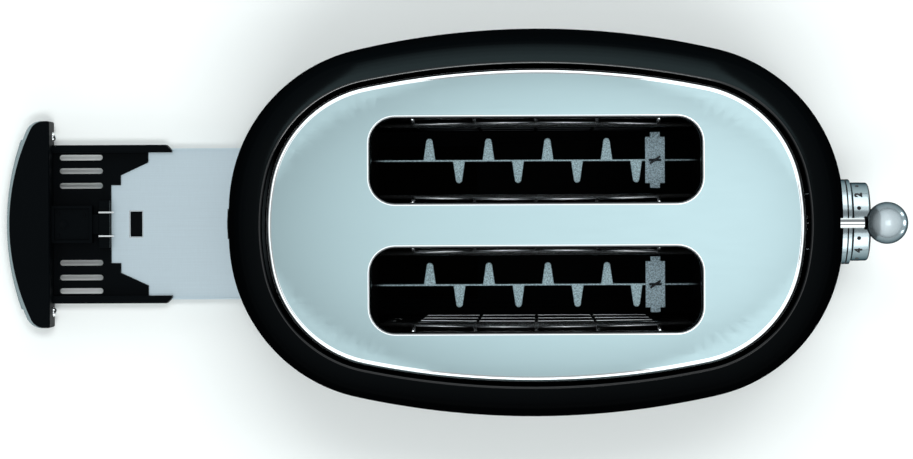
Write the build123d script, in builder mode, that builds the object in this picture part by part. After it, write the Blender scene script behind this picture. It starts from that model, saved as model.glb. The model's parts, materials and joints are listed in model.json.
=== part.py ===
import math
import os

from build123d import *

os.makedirs("parts", exist_ok=True)

# Sizes are in millimetres. +X points to the lever and the dial, +Y to the right-hand bread slot as
# seen from that end, +Z is up. The origin is on the worktop under the middle of the body.

# Body ovals: half length, half width, then the radii of the sides, the ends and the corners
base_oval = (156.4, 98.5, 403.0, 186.0, 83.0)
plate_oval = (120.0, 69.9, 376.0, 97.0, 54.0)
body_height = 208.0
foot_height = 5.0
pan_height = 7.0
shell_wall = 2.0
shoulder_reach = 12.0
shoulder_radius = 12.5
wall_bulge = 0.03
lip_gap = 1.3
lip_depth = 5.0
crest_radius = 0.8

# Top plate
plate_drop = 1.2
plate_sheet = 1.2
plate_skirt = 7.0
plate_edge_radius = 1.1
slot_length = 148.8
slot_width = 38.6
slot_corner = 11.5
slot_pitch = 57.3
slot_skirt = 9.0
slot_edge_radius = 0.6

# Chassis
chassis_half = 80.0
end_sheet = 1.0
side_sheet = 0.6
side_foot = 24.0
side_head = 10.0
leg_width = 11.6
leg_height = 4.0
ankle_length = 10.0
pad_height = 7.0
pad_radius = 6.5
screw_radius = 1.75
screw_head_radius = 3.2
screw_head = 2.0
screw_play = 0.25
screw_length = 11.0

# Base pan
pan_floor = 2.0
pan_wall = 2.0
pan_inset = 3.0
pan_flange = 2.0
flange_inset = 0.6
rim_height = 4.0
foot_radius = 9.0
foot_x = 104.0
foot_y = 58.0
foot_spigot_radius = 3.5
foot_round = 1.0
rib_sheet = 2.0
rib_height = 6.0
boss_radius = 5.0
boss_height = 13.0
vent_count = 9
vent_pitch = 14.0
vent_length = 16.0
vent_gap = 3.0
vent_y = 66.0

# Heaters
card_sheet = 0.6
card_gap = 4.3
reflector_gap = 5.05
card_bottom = 40.0
card_head_gap = 36.8
ribbon_sheet = 0.3
ribbon_width = 1.8
ribbon_pitch = 11.0
ribbon_runs = 13
ribbon_margin = 8.0

# Bread guards
wire_radius = 0.8
guard_inset = 1.7
guard_lean = 2.2
guard_flare = 3.0
guard_pivot_height = 34.0
guard_head_drop = 20.8
guard_tip_rise = 9.5
guard_bend = 4.0
guard_half = 70.0
guard_pitch = 27.5
guard_uprights = 5
guard_cross_heights = (75.0, 115.0, 150.0)
pivot_play = 0.08

# Bread racks and the carriage
rack_drop = 58.8
rack_depth = 8.0
rack_sheet = 1.0
rack_aside = 0.7
rack_tail = 3.0
rack_play = 1.5
tooth_count = 8
tooth_first = -49.1
tooth_pitch = 13.62
tooth_reach = 10.4
tooth_root = 5.8
tooth_tip = 3.2
tooth_round = 1.5
cross_x = 54.9
cross_width = 9.0
cross_length = 25.8
cross_notch = 2.2
lug_length = 5.8
lug_rise = 1.4
lug_twist = 35.0
travel = 62.0
carriage_x = 96.0
carriage_sheet = 1.2
carriage_half = 34.0
carriage_below = 8.0
carriage_above = 6.0
rod_x = 90.0
rod_radius = 2.5
rod_play = 0.06
sleeve_radius = 4.5
spring_x = 89.0
spring_y = 15.0
spring_radius = 3.0
spring_wire = 0.8
lug_sheet = 1.2
spring_lug_drop = 18.0
head_tab_half = 20.0
head_tab_drop = 10.0

# Lever
lever_rise = 20.0
stem_radius = 2.25
stem_tip_x = 155.0
ball_x = 159.5
ball_radius = 9.55
collar_radius = 3.1
collar_x = 149.2
collar_length = 2.2
lever_slot_play = 1.25

# Holding magnet and mains switch
magnet_y = -18.0
pole_radius = 4.0
coil_radius = 7.0
coil_height = 10.0
yoke_sheet = 3.0
pole_height = 13.0
armature_size = 12.0
armature_sheet = 2.0
armature_gap = 0.5
switch_width = 10.0
switch_height = 13.0
switch_reach = 12.0
plunger_length = 4.0
plunger_width = 3.3
blade_width = 5.0
blade_sheet = 0.6
blade_rise = 3.0

# Dial and control board
dial_height = 66.0
bezel_radius = 20.75
bezel_face_x = 152.9
dial_gap = 0.3
dial_radius = 19.1
dial_depth = 8.8
dial_round = 1.8
dial_back_round = 0.45
dial_dish = 1.0
dial_dish_radius = 14.0
dial_dish_slope = 30.0
shaft_radius = 3.0
shaft_play = 0.08
shaft_hole_play = 0.4
shaft_engage = 5.0
board_x = 116.0
board_sheet = 1.6
board_half = 36.0
board_height = 86.0
board_block = 6.0
board_back = 4.0
board_stay_height = 20.0
encoder_size = 13.0
encoder_depth = 6.4
bushing_radius = 4.5
bushing_length = 6.0
shaft_tail = 4.5

# Push buttons
button_height = 34.0
button_pitch = 14.0
button_radius = 4.3
button_play = 0.35
button_stand = 1.7
button_travel = 2.0
button_round = 0.6
button_flange = 1.2
button_flange_radius = 5.6
button_flange_gap = 0.6
button_stem_radius = 2.0
tact_size = 6.0
tact_depth = 1.6
tact_gap = 0.2

# Mains inlet
gland_height = 38.0
gland_radius = 7.5
gland_neck_radius = 6.0
gland_bore_radius = 3.7
gland_stand = 0.5
gland_play = 0.05
gland_nut = 3.0
gland_nut_play = 0.3
gland_neck = 8.0
terminal_width = 28.0
terminal_depth = 14.0
terminal_height = 14.0
terminal_bottom = 60.0

# Crumb tray, drawn pulled out; its inner cap face stands at tray_face
tray_closed_face = -133.8
tray_out = 111.6
tray_face = tray_closed_face - tray_out
cap_half = 52.25
cap_depth = 20.5
cap_arc_radius = 112.0
cap_corner_radius = 7.5
cap_bottom = 7.6
cap_height = 16.4
cap_play = 0.5
notch_corner = 0.8
trim_sheet = 1.0
trim_flatter = 8.0
trim_inset = 1.2
pull_sheet = 0.9
pull_flatter = 10.0
pull_half = 43.0
pull_inset = 4.5
stud_y = 44.4
stud_radius = 2.45
stud_reach = 2.4
stud_round = 1.9
rail_outer = 40.2
rail_inner = 36.4
rail_length = 60.4
rail_bottom = 7.4
rail_height = 7.4
rail_chamfer = 2.6
rib_play = 0.5
floor_bottom = 10.1
floor_sheet = 1.5
floor_middle = (29.3, 19.8)
floor_step = (34.2, 24.8)
floor_wing = (48.2, 31.3)
vent_rows = (19.6, 27.1, 33.9)
vent_width = 2.8
vent_start = 3.1
vent_end = 25.2
crumb_plate_start = 26.4
crumb_end_gap = 3.2
crumb_plate_half = 38.4
crumb_plate_sheet = 0.8
crumb_flange = 2.0
crumb_hole_start = 38.9
crumb_hole_length = 6.1
crumb_hole_width = 12.8
clip_margin = 2.0
clip_sheet = 0.4
groove_play = 0.1

# Tray latch
housing_length = 20.5
housing_half = 9.4
housing_height = 6.4
housing_wall = 1.4
housing_floor = 0.8
lid_recess = 0.8
lid_sheet = 0.8
latch_start = 23.7
latch_end = 29.1
latch_half = 12.0
latch_height = 4.4
latch_lift = 0.2
tongue_half = 5.0
tongue_length = 9.0
tongue_play = 0.3
latch_wire_radius = 0.45
latch_wire_y = 6.0
latch_wire_end = 31.4
catch_height = 1.6
catch_half = 8.0
catch_sheet = 2.0
catch_gap = 0.8

# What follows from the sizes above
pan_top = foot_height + pan_height
shell_bottom = pan_top
floor_top = foot_height + pan_floor
plate_top = body_height - plate_drop
plate_under = plate_top - plate_sheet
chassis_bottom = floor_top + pad_height
shoulder_oval = tuple(size + lip_gap + shoulder_reach for size in plate_oval)
well_y = slot_pitch / 2
outer_face = chassis_half + end_sheet
guard_foot_offset = slot_width / 2 - guard_inset
guard_head_offset = guard_foot_offset - guard_lean
guard_tip_offset = guard_head_offset + guard_flare
guard_head_height = plate_top - guard_head_drop
guard_tip_height = guard_head_height + guard_tip_rise
card_offset = guard_foot_offset + wire_radius + card_gap + card_sheet / 2
card_height = plate_top - card_head_gap - card_bottom
chassis_width = 2 * (well_y + card_offset + card_sheet / 2 + reflector_gap + side_sheet)
rack_top = plate_top - rack_drop
lever_height = rack_top + lever_rise
screw_spots = [(sx * (outer_face + ankle_length / 2), sy * (chassis_width - leg_width) / 2)
               for sx in (-1, 1) for sy in (-1, 1)]
button_spots = [(step * button_pitch, button_height) for step in (-1, 0, 1)]


def grown(oval, by):
    return tuple(size + by for size in oval)


def wall_oval(level):
    # outline of the tapering body wall at a height, a little fuller in the middle
    share = (level - shell_bottom) / (body_height - shell_bottom)
    share -= 4 * wall_bulge * share * (1 - share)
    return tuple(low + share * (high - low) for low, high in zip(base_oval, shoulder_oval))


def corner_centre(half_x, half_y, side, end, corner):
    # centre of the corner arc, which touches the side arc and the end arc from inside
    run, rise = half_x - end, side - half_y
    span = math.hypot(run, rise)
    along = ((side - corner) ** 2 - (end - corner) ** 2 + span ** 2) / (2 * span)
    across = math.sqrt((side - corner) ** 2 - along ** 2)
    x = (along * run + across * rise) / span
    y = half_y - side + (along * rise - across * run) / span
    return x, y


def draw_oval(oval):
    # eight tangent arcs, anticlockwise from the +X end
    half_x, half_y, side, end, corner = oval
    x, y = corner_centre(*oval)
    end_turn = math.degrees(math.atan2(y, x - (half_x - end)))
    side_turn = math.degrees(math.atan2(x, y - (half_y - side)))
    corner_turn = 90 - side_turn - end_turn
    CenterArc((half_x - end, 0), end, -end_turn, 2 * end_turn)
    CenterArc((x, y), corner, end_turn, corner_turn)
    CenterArc((0, half_y - side), side, 90 - side_turn, 2 * side_turn)
    CenterArc((-x, y), corner, 90 + side_turn, corner_turn)
    CenterArc((end - half_x, 0), end, 180 - end_turn, 2 * end_turn)
    CenterArc((-x, -y), corner, 180 + end_turn, corner_turn)
    CenterArc((0, side - half_y), side, 270 - side_turn, 2 * side_turn)
    CenterArc((x, -y), corner, 270 + side_turn, corner_turn)


def oval_face(oval, level):
    with BuildSketch(Plane.XY.offset(level)) as section:
        with BuildLine():
            draw_oval(oval)
        make_face()
    return section.sketch


def bell(inset, bottom, top):
    # the body's outer form, moved in by inset, with its rounded shoulder
    levels = (bottom, (bottom + top) / 2, top)
    with BuildPart() as form:
        loft(sections=[oval_face(grown(wall_oval(level), -inset), level) for level in levels])
        fillet(form.edges().group_by(Axis.Z)[-1], shoulder_radius - inset)
    return form.part


def surface_x(level):
    return wall_oval(level)[0]


def finish_part(name, part):
    part.label = name
    export_step(part, f"parts/{name}.step")


# Body shell
with BuildPart() as body_shell:
    add(bell(0, shell_bottom, body_height))
    add(bell(shell_wall, shell_bottom - 1, body_height - shell_wall), mode=Mode.SUBTRACT)
    extrude(oval_face(grown(plate_oval, lip_gap + shell_wall), body_height - lip_depth),
            amount=lip_depth - shell_wall)
    extrude(oval_face(grown(plate_oval, lip_gap), body_height - 2 * lip_depth),
            amount=3 * lip_depth, mode=Mode.SUBTRACT)
    fillet(body_shell.edges(Select.LAST).group_by(Axis.Z)[-1], crest_radius)
    with BuildSketch(Plane.YZ.offset(carriage_x)):
        with Locations((0, lever_height - travel / 2)):
            SlotCenterToCenter(travel, 2 * (stem_radius + lever_slot_play), rotation=90)
        with Locations((0, dial_height)):
            Circle(shaft_radius + shaft_hole_play)
        with Locations(*button_spots):
            Circle(button_radius + button_play)
    extrude(amount=base_oval[0], mode=Mode.SUBTRACT)
    with BuildSketch(Plane.YZ.offset(tray_closed_face + cap_play)):
        with Locations((0, cap_bottom + cap_height / 2)):
            RectangleRounded(2 * (cap_half + cap_play), cap_height + 2 * cap_play, notch_corner)
        with Locations((0, shell_bottom)):
            Rectangle(2 * (cap_half + cap_play), cap_height / 2)
        with Locations((0, gland_height)):
            Circle(gland_neck_radius + gland_play)
    extrude(amount=-base_oval[0], mode=Mode.SUBTRACT)
finish_part("body_shell", body_shell.part)

# Top plate with two turned-down bread slots
with BuildPart() as top_plate:
    extrude(oval_face(plate_oval, plate_top - plate_skirt), amount=plate_skirt)
    fillet(top_plate.edges().group_by(Axis.Z)[-1], plate_edge_radius)
    extrude(oval_face(grown(plate_oval, -plate_sheet), plate_top - plate_skirt),
            amount=plate_skirt - plate_sheet, mode=Mode.SUBTRACT)
    with BuildSketch(Plane.XY.offset(plate_top - slot_skirt)):
        with Locations((0, well_y), (0, -well_y)):
            RectangleRounded(slot_length + 2 * plate_sheet, slot_width + 2 * plate_sheet,
                             slot_corner + plate_sheet)
    extrude(amount=slot_skirt - plate_sheet)
    with BuildSketch(Plane.XY.offset(plate_top - slot_skirt)):
        with Locations((0, well_y), (0, -well_y)):
            RectangleRounded(slot_length, slot_width, slot_corner)
    extrude(amount=slot_skirt, mode=Mode.SUBTRACT)
    fillet(top_plate.edges(Select.LAST).group_by(Axis.Z)[-1], slot_edge_radius)
finish_part("top_plate", top_plate.part)

# Base pan
with BuildPart() as base_pan:
    pan_oval = grown(base_oval, -pan_inset)
    extrude(oval_face(pan_oval, foot_height), amount=pan_height + rim_height)
    extrude(oval_face(grown(base_oval, -flange_inset), pan_top - pan_flange), amount=pan_flange)
    extrude(oval_face(grown(pan_oval, -pan_wall), floor_top),
            amount=pan_height + rim_height, mode=Mode.SUBTRACT)
    with BuildSketch(Plane.XY.offset(floor_top)):
        with Locations(*screw_spots):
            Circle(pad_radius)
    extrude(amount=pad_height)
    with BuildSketch(Plane.XY.offset(floor_top)):
        rib_middle = rail_outer + rib_play + rib_sheet / 2
        with Locations(((chassis_half + tray_closed_face) / 2, rib_middle),
                       ((chassis_half + tray_closed_face) / 2, -rib_middle)):
            Rectangle(chassis_half - tray_closed_face - 2 * rib_sheet, rib_sheet)
    extrude(amount=rib_height)
    with BuildSketch(Plane.XY.offset(floor_top)):
        with Locations((rod_x, 0)):
            Circle(boss_radius)
    extrude(amount=boss_height)
    with BuildSketch(Plane.XY.offset(floor_top)):
        with Locations(*[(board_x + board_sheet / 2, s * (board_half - board_block / 2)) for s in (-1, 1)]):
            Rectangle(board_sheet + 2 * board_back, board_block)
    extrude(amount=pad_height)
    with BuildSketch(Plane.XY.offset(chassis_bottom)):
        with Locations(*[(board_x - board_back / 2, s * (board_half - board_block / 2)) for s in (-1, 1)]):
            Rectangle(board_back, board_block)
    extrude(amount=board_stay_height)
    with BuildSketch(Plane.XY.offset(floor_top)):
        with Locations((tray_closed_face + latch_wire_end + catch_gap + catch_sheet / 2, 0)):
            Rectangle(catch_sheet, 2 * catch_half)
    extrude(amount=catch_height)
    with BuildSketch(Plane.YZ.offset(tray_closed_face + cap_play)):
        with Locations((0, floor_top + cap_height / 2)):
            Rectangle(2 * (cap_half + cap_play), cap_height)
    extrude(amount=-base_oval[0], mode=Mode.SUBTRACT)
    with BuildSketch(Plane.XY.offset(foot_height)):
        with Locations(*[(sx * foot_x, sy * foot_y) for sx in (-1, 1) for sy in (-1, 1)]):
            Circle(foot_spigot_radius)
    extrude(amount=pan_floor, mode=Mode.SUBTRACT)
    with BuildSketch(Plane.XY.offset(foot_height)):
        with Locations(*screw_spots):
            Circle(screw_radius + screw_play)
    extrude(amount=pan_floor + pad_height, mode=Mode.SUBTRACT)
    with BuildSketch(Plane.XY.offset(foot_height)):
        with Locations(*screw_spots):
            Circle(screw_head_radius + screw_play)
    extrude(amount=screw_head, mode=Mode.SUBTRACT)
    with BuildSketch(Plane.XY.offset(foot_height)):
        with Locations((0, vent_y), (0, -vent_y)):
            with GridLocations(vent_pitch, 1, vent_count, 1):
                SlotOverall(vent_length, vent_gap, rotation=90)
    extrude(amount=pan_floor, mode=Mode.SUBTRACT)
finish_part("base_pan", base_pan.part)

# Four rubber feet, each with a spigot through the pan's floor
for foot_name, sx, sy in (("front_right", 1, 1), ("front_left", 1, -1),
                          ("rear_right", -1, 1), ("rear_left", -1, -1)):
    with BuildPart() as foot:
        with BuildSketch():
            with Locations((sx * foot_x, sy * foot_y)):
                Circle(foot_radius)
        extrude(amount=foot_height)
        fillet(foot.edges().group_by(Axis.Z)[0], foot_round)
        with BuildSketch(Plane.XY.offset(foot_height)):
            with Locations((sx * foot_x, sy * foot_y)):
                Circle(foot_spigot_radius)
        extrude(amount=pan_floor)
    finish_part(f"foot_{foot_name}", foot.part)

# Chassis end plates, with slots for the racks and holes for the guards' pivots
for end_name, end in (("front_end_plate", 1), ("rear_end_plate", -1)):
    with BuildPart() as end_plate:
        with BuildSketch(Plane.YZ.offset(end * (chassis_half + end_sheet / 2))):
            with Locations((0, (chassis_bottom + plate_under) / 2)):
                Rectangle(chassis_width, plate_under - chassis_bottom)
            with Locations((0, chassis_bottom + leg_height / 2)):
                Rectangle(chassis_width - 2 * leg_width, leg_height, mode=Mode.SUBTRACT)
            with Locations(*[(s * well_y + rack_aside, rack_top - rack_depth / 2 - travel / 2) for s in (-1, 1)]):
                Rectangle(rack_sheet + 2 * rack_play, travel + rack_depth + 2 * rack_play,
                          mode=Mode.SUBTRACT)
            with Locations(*[(side * well_y + lean * guard_foot_offset, guard_pivot_height)
                             for side in (-1, 1) for lean in (-1, 1)]):
                Circle(wire_radius + pivot_play, mode=Mode.SUBTRACT)
        extrude(amount=end_sheet / 2, both=True)
        with BuildSketch(Plane.XY.offset(chassis_bottom)):
            with Locations(*[(end * (outer_face + ankle_length / 2), s * (chassis_width - leg_width) / 2)
                             for s in (-1, 1)]):
                Rectangle(ankle_length, leg_width)
        extrude(amount=end_sheet)
        with BuildSketch(Plane.XY.offset(chassis_bottom)):
            with Locations(*[(end * (outer_face + ankle_length / 2), s * (chassis_width - leg_width) / 2)
                             for s in (-1, 1)]):
                Circle(screw_radius)
        extrude(amount=end_sheet, mode=Mode.SUBTRACT)
        if end > 0:
            with BuildSketch(Plane.XY.offset(plate_under - head_tab_drop)):
                with Locations(((outer_face + carriage_x) / 2, 0)):
                    Rectangle(carriage_x - outer_face, 2 * head_tab_half)
            extrude(amount=end_sheet)
    finish_part(end_name, end_plate.part)

# Outer reflector sheets
for side_name, side in (("right", 1), ("left", -1)):
    with BuildPart() as reflector:
        with BuildSketch(Plane.XY.offset(side_foot)):
            with Locations((0, side * (chassis_width / 2 - side_sheet / 2))):
                Rectangle(2 * chassis_half, side_sheet)
        extrude(amount=plate_under - side_foot - side_head)
    finish_part(f"reflector_{side_name}", reflector.part)

# Heater cards and their flat ribbons, two for each bread well
for side_name, side in (("right", 1), ("left", -1)):
    for place_name, lean in (("outer", 1), ("inner", -1)):
        card_y = side * (well_y + lean * card_offset)
        inward = -side * lean
        with BuildPart() as heater_card:
            with BuildSketch(Plane.XY.offset(card_bottom)):
                with Locations((0, card_y)):
                    Rectangle(2 * chassis_half, card_sheet)
            extrude(amount=card_height)
        finish_part(f"heater_card_{side_name}_{place_name}", heater_card.part)
        with BuildPart() as heater_ribbon:
            ribbon_span = (ribbon_runs - 1) * ribbon_pitch
            run_length = card_height - 2 * ribbon_margin
            run_middle = card_bottom + card_height / 2
            with BuildSketch(Plane.XZ.offset(-(card_y + inward * card_sheet / 2))):
                for run in range(ribbon_runs):
                    with Locations((run * ribbon_pitch - ribbon_span / 2, run_middle)):
                        Rectangle(ribbon_width, run_length)
                for run in range(ribbon_runs - 1):
                    height = run_middle + (1 if run % 2 else -1) * (run_length - ribbon_width) / 2
                    with Locations(((run + 0.5) * ribbon_pitch - ribbon_span / 2, height)):
                        Rectangle(ribbon_pitch, ribbon_width)
            extrude(amount=-inward * ribbon_sheet)
        finish_part(f"heater_ribbon_{side_name}_{place_name}", heater_ribbon.part)

# Wire bread guards, hung on the end plates by their lowest wire
for side_name, side in (("right", 1), ("left", -1)):
    for place_name, lean in (("outer", 1), ("inner", -1)):
        out = side * lean
        foot_y_line = side * well_y + out * guard_foot_offset
        head_y_line = side * well_y + out * guard_head_offset
        tip_y_line = side * well_y + out * guard_tip_offset
        slope = (guard_head_offset - guard_foot_offset) / (guard_head_height - guard_pivot_height)
        with BuildPart() as bread_guard:
            for number in range(guard_uprights):
                x = (number - (guard_uprights - 1) / 2) * guard_pitch
                with BuildLine() as upright:
                    FilletPolyline((x, foot_y_line, guard_pivot_height),
                                   (x, head_y_line, guard_head_height),
                                   (x, tip_y_line, guard_tip_height), radius=guard_bend)
                with BuildSketch(Plane(upright.line @ 0, z_dir=upright.line % 0)):
                    Circle(wire_radius)
                sweep(path=upright.line)
            for height in (*guard_cross_heights, guard_head_height):
                offset_y = guard_foot_offset + slope * (height - guard_pivot_height)
                with BuildSketch(Plane.YZ.offset(-guard_half)):
                    with Locations((side * well_y + out * offset_y, height)):
                        Circle(wire_radius)
                extrude(amount=2 * guard_half)
            with BuildSketch(Plane.YZ.offset(-outer_face)):
                with Locations((foot_y_line, guard_pivot_height)):
                    Circle(wire_radius)
            extrude(amount=2 * outer_face)
        finish_part(f"bread_guard_{side_name}_{place_name}", bread_guard.part)

# Bread racks: an upright strip with teeth bent out to both sides, and its twisted lug
for side_name, side in (("right", 1), ("left", -1)):
    rack_y = side * well_y + rack_aside
    with BuildPart() as bread_rack:
        with BuildSketch(Plane.XY.offset(rack_top - rack_depth)):
            with Locations(((carriage_x - outer_face - rack_tail) / 2, rack_y)):
                Rectangle(carriage_x + outer_face + rack_tail, rack_sheet)
        extrude(amount=rack_depth)
        with BuildSketch(Plane.XY.offset(rack_top - rack_sheet)):
            for number in range(tooth_count):
                x = tooth_first + number * tooth_pitch
                out = 1 if number % 2 == 0 else -1
                with BuildLine():
                    Polyline((x - tooth_tip / 2, rack_y + out * (tooth_reach - tooth_round)),
                             (x - tooth_root / 2, rack_y),
                             (x + tooth_root / 2, rack_y),
                             (x + tooth_tip / 2, rack_y + out * (tooth_reach - tooth_round)))
                    ThreePointArc((x + tooth_tip / 2, rack_y + out * (tooth_reach - tooth_round)),
                                  (x, rack_y + out * tooth_reach),
                                  (x - tooth_tip / 2, rack_y + out * (tooth_reach - tooth_round)))
                make_face()
        extrude(amount=rack_sheet)
        with BuildSketch(Plane.XY.offset(rack_top)):
            with Locations((cross_x, rack_y)):
                Rectangle(lug_length, rack_sheet)
        extrude(amount=rack_sheet)
        with BuildSketch(Plane.XY.offset(rack_top + rack_sheet)):
            with Locations((cross_x, rack_y)):
                Rectangle(lug_length, rack_sheet, rotation=lug_twist)
        extrude(amount=lug_rise)
    finish_part(f"bread_rack_{side_name}", bread_rack.part)

    with BuildPart() as rack_cross_plate:
        with BuildSketch(Plane.XY.offset(rack_top)):
            with Locations((cross_x, rack_y)):
                Rectangle(cross_width, cross_length - 2 * cross_notch)
                Rectangle(cross_width - 2 * cross_notch, cross_length)
                Rectangle(lug_length, rack_sheet, mode=Mode.SUBTRACT)
        extrude(amount=rack_sheet)
    finish_part(f"rack_cross_plate_{side_name}", rack_cross_plate.part)

# Carriage behind the front wall: plate, sleeve on the rod, spring lug and armature lug
carriage_bottom = rack_top - rack_depth - carriage_below
carriage_top = lever_height + carriage_above
spring_lug_level = lever_height - spring_lug_drop
magnet_bottom = carriage_bottom - travel - pole_height - yoke_sheet - armature_sheet
pole_top = magnet_bottom + yoke_sheet + pole_height
armature_bottom = pole_top + armature_gap + travel
with BuildPart() as carriage:
    with BuildSketch(Plane.YZ.offset(carriage_x)):
        with Locations((0, (carriage_bottom + carriage_top) / 2)):
            Rectangle(2 * carriage_half, carriage_top - carriage_bottom)
    extrude(amount=carriage_sheet)
    with BuildSketch(Plane.XY.offset(carriage_bottom)):
        with Locations((rod_x, 0)):
            Circle(sleeve_radius)
        with Locations(((rod_x + carriage_x) / 2, 0)):
            Rectangle(carriage_x - rod_x, sleeve_radius)
    extrude(amount=carriage_top - carriage_bottom)
    with BuildSketch(Plane.XY.offset(spring_lug_level)):
        with Locations(((spring_x - spring_radius + carriage_x) / 2, spring_y)):
            Rectangle(carriage_x - spring_x + spring_radius, 2 * spring_radius)
    extrude(amount=lug_sheet)
    with BuildSketch(Plane.XY.offset(armature_bottom + armature_sheet)):
        with Locations((carriage_x - armature_size / 2, magnet_y)):
            Rectangle(armature_size, armature_size)
    extrude(amount=lug_sheet)
    with BuildSketch(Plane.XY.offset(carriage_bottom)):
        with Locations((rod_x, 0)):
            Circle(rod_radius + rod_play)
    extrude(amount=carriage_top - carriage_bottom, mode=Mode.SUBTRACT)
finish_part("carriage", carriage.part)

with BuildPart() as armature:
    with BuildSketch(Plane.XY.offset(armature_bottom)):
        with Locations((carriage_x - armature_size / 2, magnet_y)):
            Rectangle(armature_size, armature_size)
    extrude(amount=armature_sheet)
finish_part("armature", armature.part)

head_tab_under = plate_under - head_tab_drop
with BuildPart() as guide_rod:
    with BuildSketch(Plane.XY.offset(floor_top + boss_height)):
        with Locations((rod_x, 0)):
            Circle(rod_radius)
    extrude(amount=head_tab_under - floor_top - boss_height)
finish_part("guide_rod", guide_rod.part)

with BuildPart() as lift_spring:
    with BuildSketch(Plane.XY.offset(spring_lug_level + lug_sheet)):
        with Locations((spring_x, spring_y)):
            Circle(spring_radius)
            Circle(spring_radius - spring_wire, mode=Mode.SUBTRACT)
    extrude(amount=head_tab_under - spring_lug_level - lug_sheet)
finish_part("lift_spring", lift_spring.part)

# Lever: stem, collar and ball
with BuildPart() as lever_stem:
    with BuildSketch(Plane.YZ.offset(carriage_x + carriage_sheet)):
        with Locations((0, lever_height)):
            Circle(stem_radius)
    extrude(amount=stem_tip_x - carriage_x - carriage_sheet)
finish_part("lever_stem", lever_stem.part)

with BuildPart() as lever_collar:
    with BuildSketch(Plane.YZ.offset(collar_x)):
        with Locations((0, lever_height)):
            Circle(collar_radius)
    extrude(amount=collar_length)
    with Locations((ball_x, 0, lever_height)):
        Sphere(ball_radius, mode=Mode.SUBTRACT)
    with BuildSketch(Plane.YZ.offset(collar_x)):
        with Locations((0, lever_height)):
            Circle(stem_radius)
    extrude(amount=collar_length, mode=Mode.SUBTRACT)
finish_part("lever_collar", lever_collar.part)

with BuildPart() as lever_ball:
    with Locations((ball_x, 0, lever_height)):
        Sphere(ball_radius)
    with BuildSketch(Plane.YZ.offset(stem_tip_x)):
        with Locations((0, lever_height)):
            Circle(stem_radius)
    extrude(amount=-ball_radius, mode=Mode.SUBTRACT)
finish_part("lever_ball", lever_ball.part)

# Holding magnet under the armature
with BuildPart() as magnet_core:
    with BuildSketch(Plane.XY.offset(magnet_bottom)):
        with Locations(((outer_face + carriage_x) / 2, magnet_y)):
            Rectangle(carriage_x - outer_face, 2 * coil_radius)
    extrude(amount=yoke_sheet)
    with BuildSketch(Plane.XY.offset(magnet_bottom + yoke_sheet)):
        with Locations((carriage_x - armature_size / 2, magnet_y)):
            Circle(pole_radius)
    extrude(amount=pole_height)
finish_part("magnet_core", magnet_core.part)

with BuildPart() as magnet_coil:
    with BuildSketch(Plane.XY.offset(magnet_bottom + yoke_sheet)):
        with Locations((carriage_x - armature_size / 2, magnet_y)):
            Circle(coil_radius - armature_gap)
            Circle(pole_radius, mode=Mode.SUBTRACT)
    extrude(amount=coil_height)
finish_part("magnet_coil", magnet_coil.part)

# Mains switch, pressed by the spring lug at the bottom of the travel
switch_top = spring_lug_level - travel - blade_rise - blade_sheet - armature_gap
with BuildPart() as mains_switch:
    with BuildSketch(Plane.XY.offset(switch_top - switch_height)):
        with Locations((outer_face + switch_reach / 2, spring_y)):
            Rectangle(switch_reach, switch_width)
    extrude(amount=switch_height)
    with BuildSketch(Plane.XY.offset(switch_top)):
        with Locations((outer_face + switch_reach / 2, spring_y)):
            Rectangle(plunger_length, plunger_width)
    extrude(amount=blade_rise)
    with BuildSketch(Plane.XY.offset(switch_top + blade_rise)):
        with Locations((outer_face + switch_reach / 2, spring_y)):
            Rectangle(switch_reach - end_sheet, blade_width)
    extrude(amount=blade_sheet)
finish_part("mains_switch", mains_switch.part)

# Control board, encoder and key switches
board_face = board_x + board_sheet
with BuildPart() as control_board:
    with BuildSketch(Plane.YZ.offset(board_x)):
        with Locations((0, chassis_bottom + board_height / 2)):
            Rectangle(2 * board_half, board_height)
    extrude(amount=board_sheet)
finish_part("control_board", control_board.part)

with BuildPart() as dial_encoder:
    with BuildSketch(Plane.YZ.offset(board_face)):
        with Locations((0, dial_height)):
            Rectangle(encoder_size, encoder_size)
    extrude(amount=encoder_depth)
    with BuildSketch(Plane.YZ.offset(board_face + encoder_depth)):
        with Locations((0, dial_height)):
            Circle(bushing_radius)
    extrude(amount=bushing_length)
    with BuildSketch(Plane.YZ.offset(board_face + encoder_depth + bushing_length)):
        with Locations((0, dial_height)):
            Circle(shaft_radius + shaft_play)
    extrude(amount=-shaft_tail - shaft_play, mode=Mode.SUBTRACT)
finish_part("dial_encoder", dial_encoder.part)

with BuildPart() as key_switches:
    with BuildSketch(Plane.YZ.offset(board_face)):
        with Locations(*button_spots):
            Rectangle(tact_size, tact_size)
    extrude(amount=tact_depth)
finish_part("key_switches", key_switches.part)

# Browning dial, its shaft and the fixed ring behind it
dial_back = bezel_face_x + dial_gap
with BuildPart() as dial_shaft:
    with BuildSketch(Plane.YZ.offset(board_face + encoder_depth + bushing_length - shaft_tail)):
        with Locations((0, dial_height)):
            Circle(shaft_radius)
    extrude(amount=dial_back + shaft_engage - board_face - encoder_depth - bushing_length + shaft_tail)
finish_part("dial_shaft", dial_shaft.part)

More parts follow.
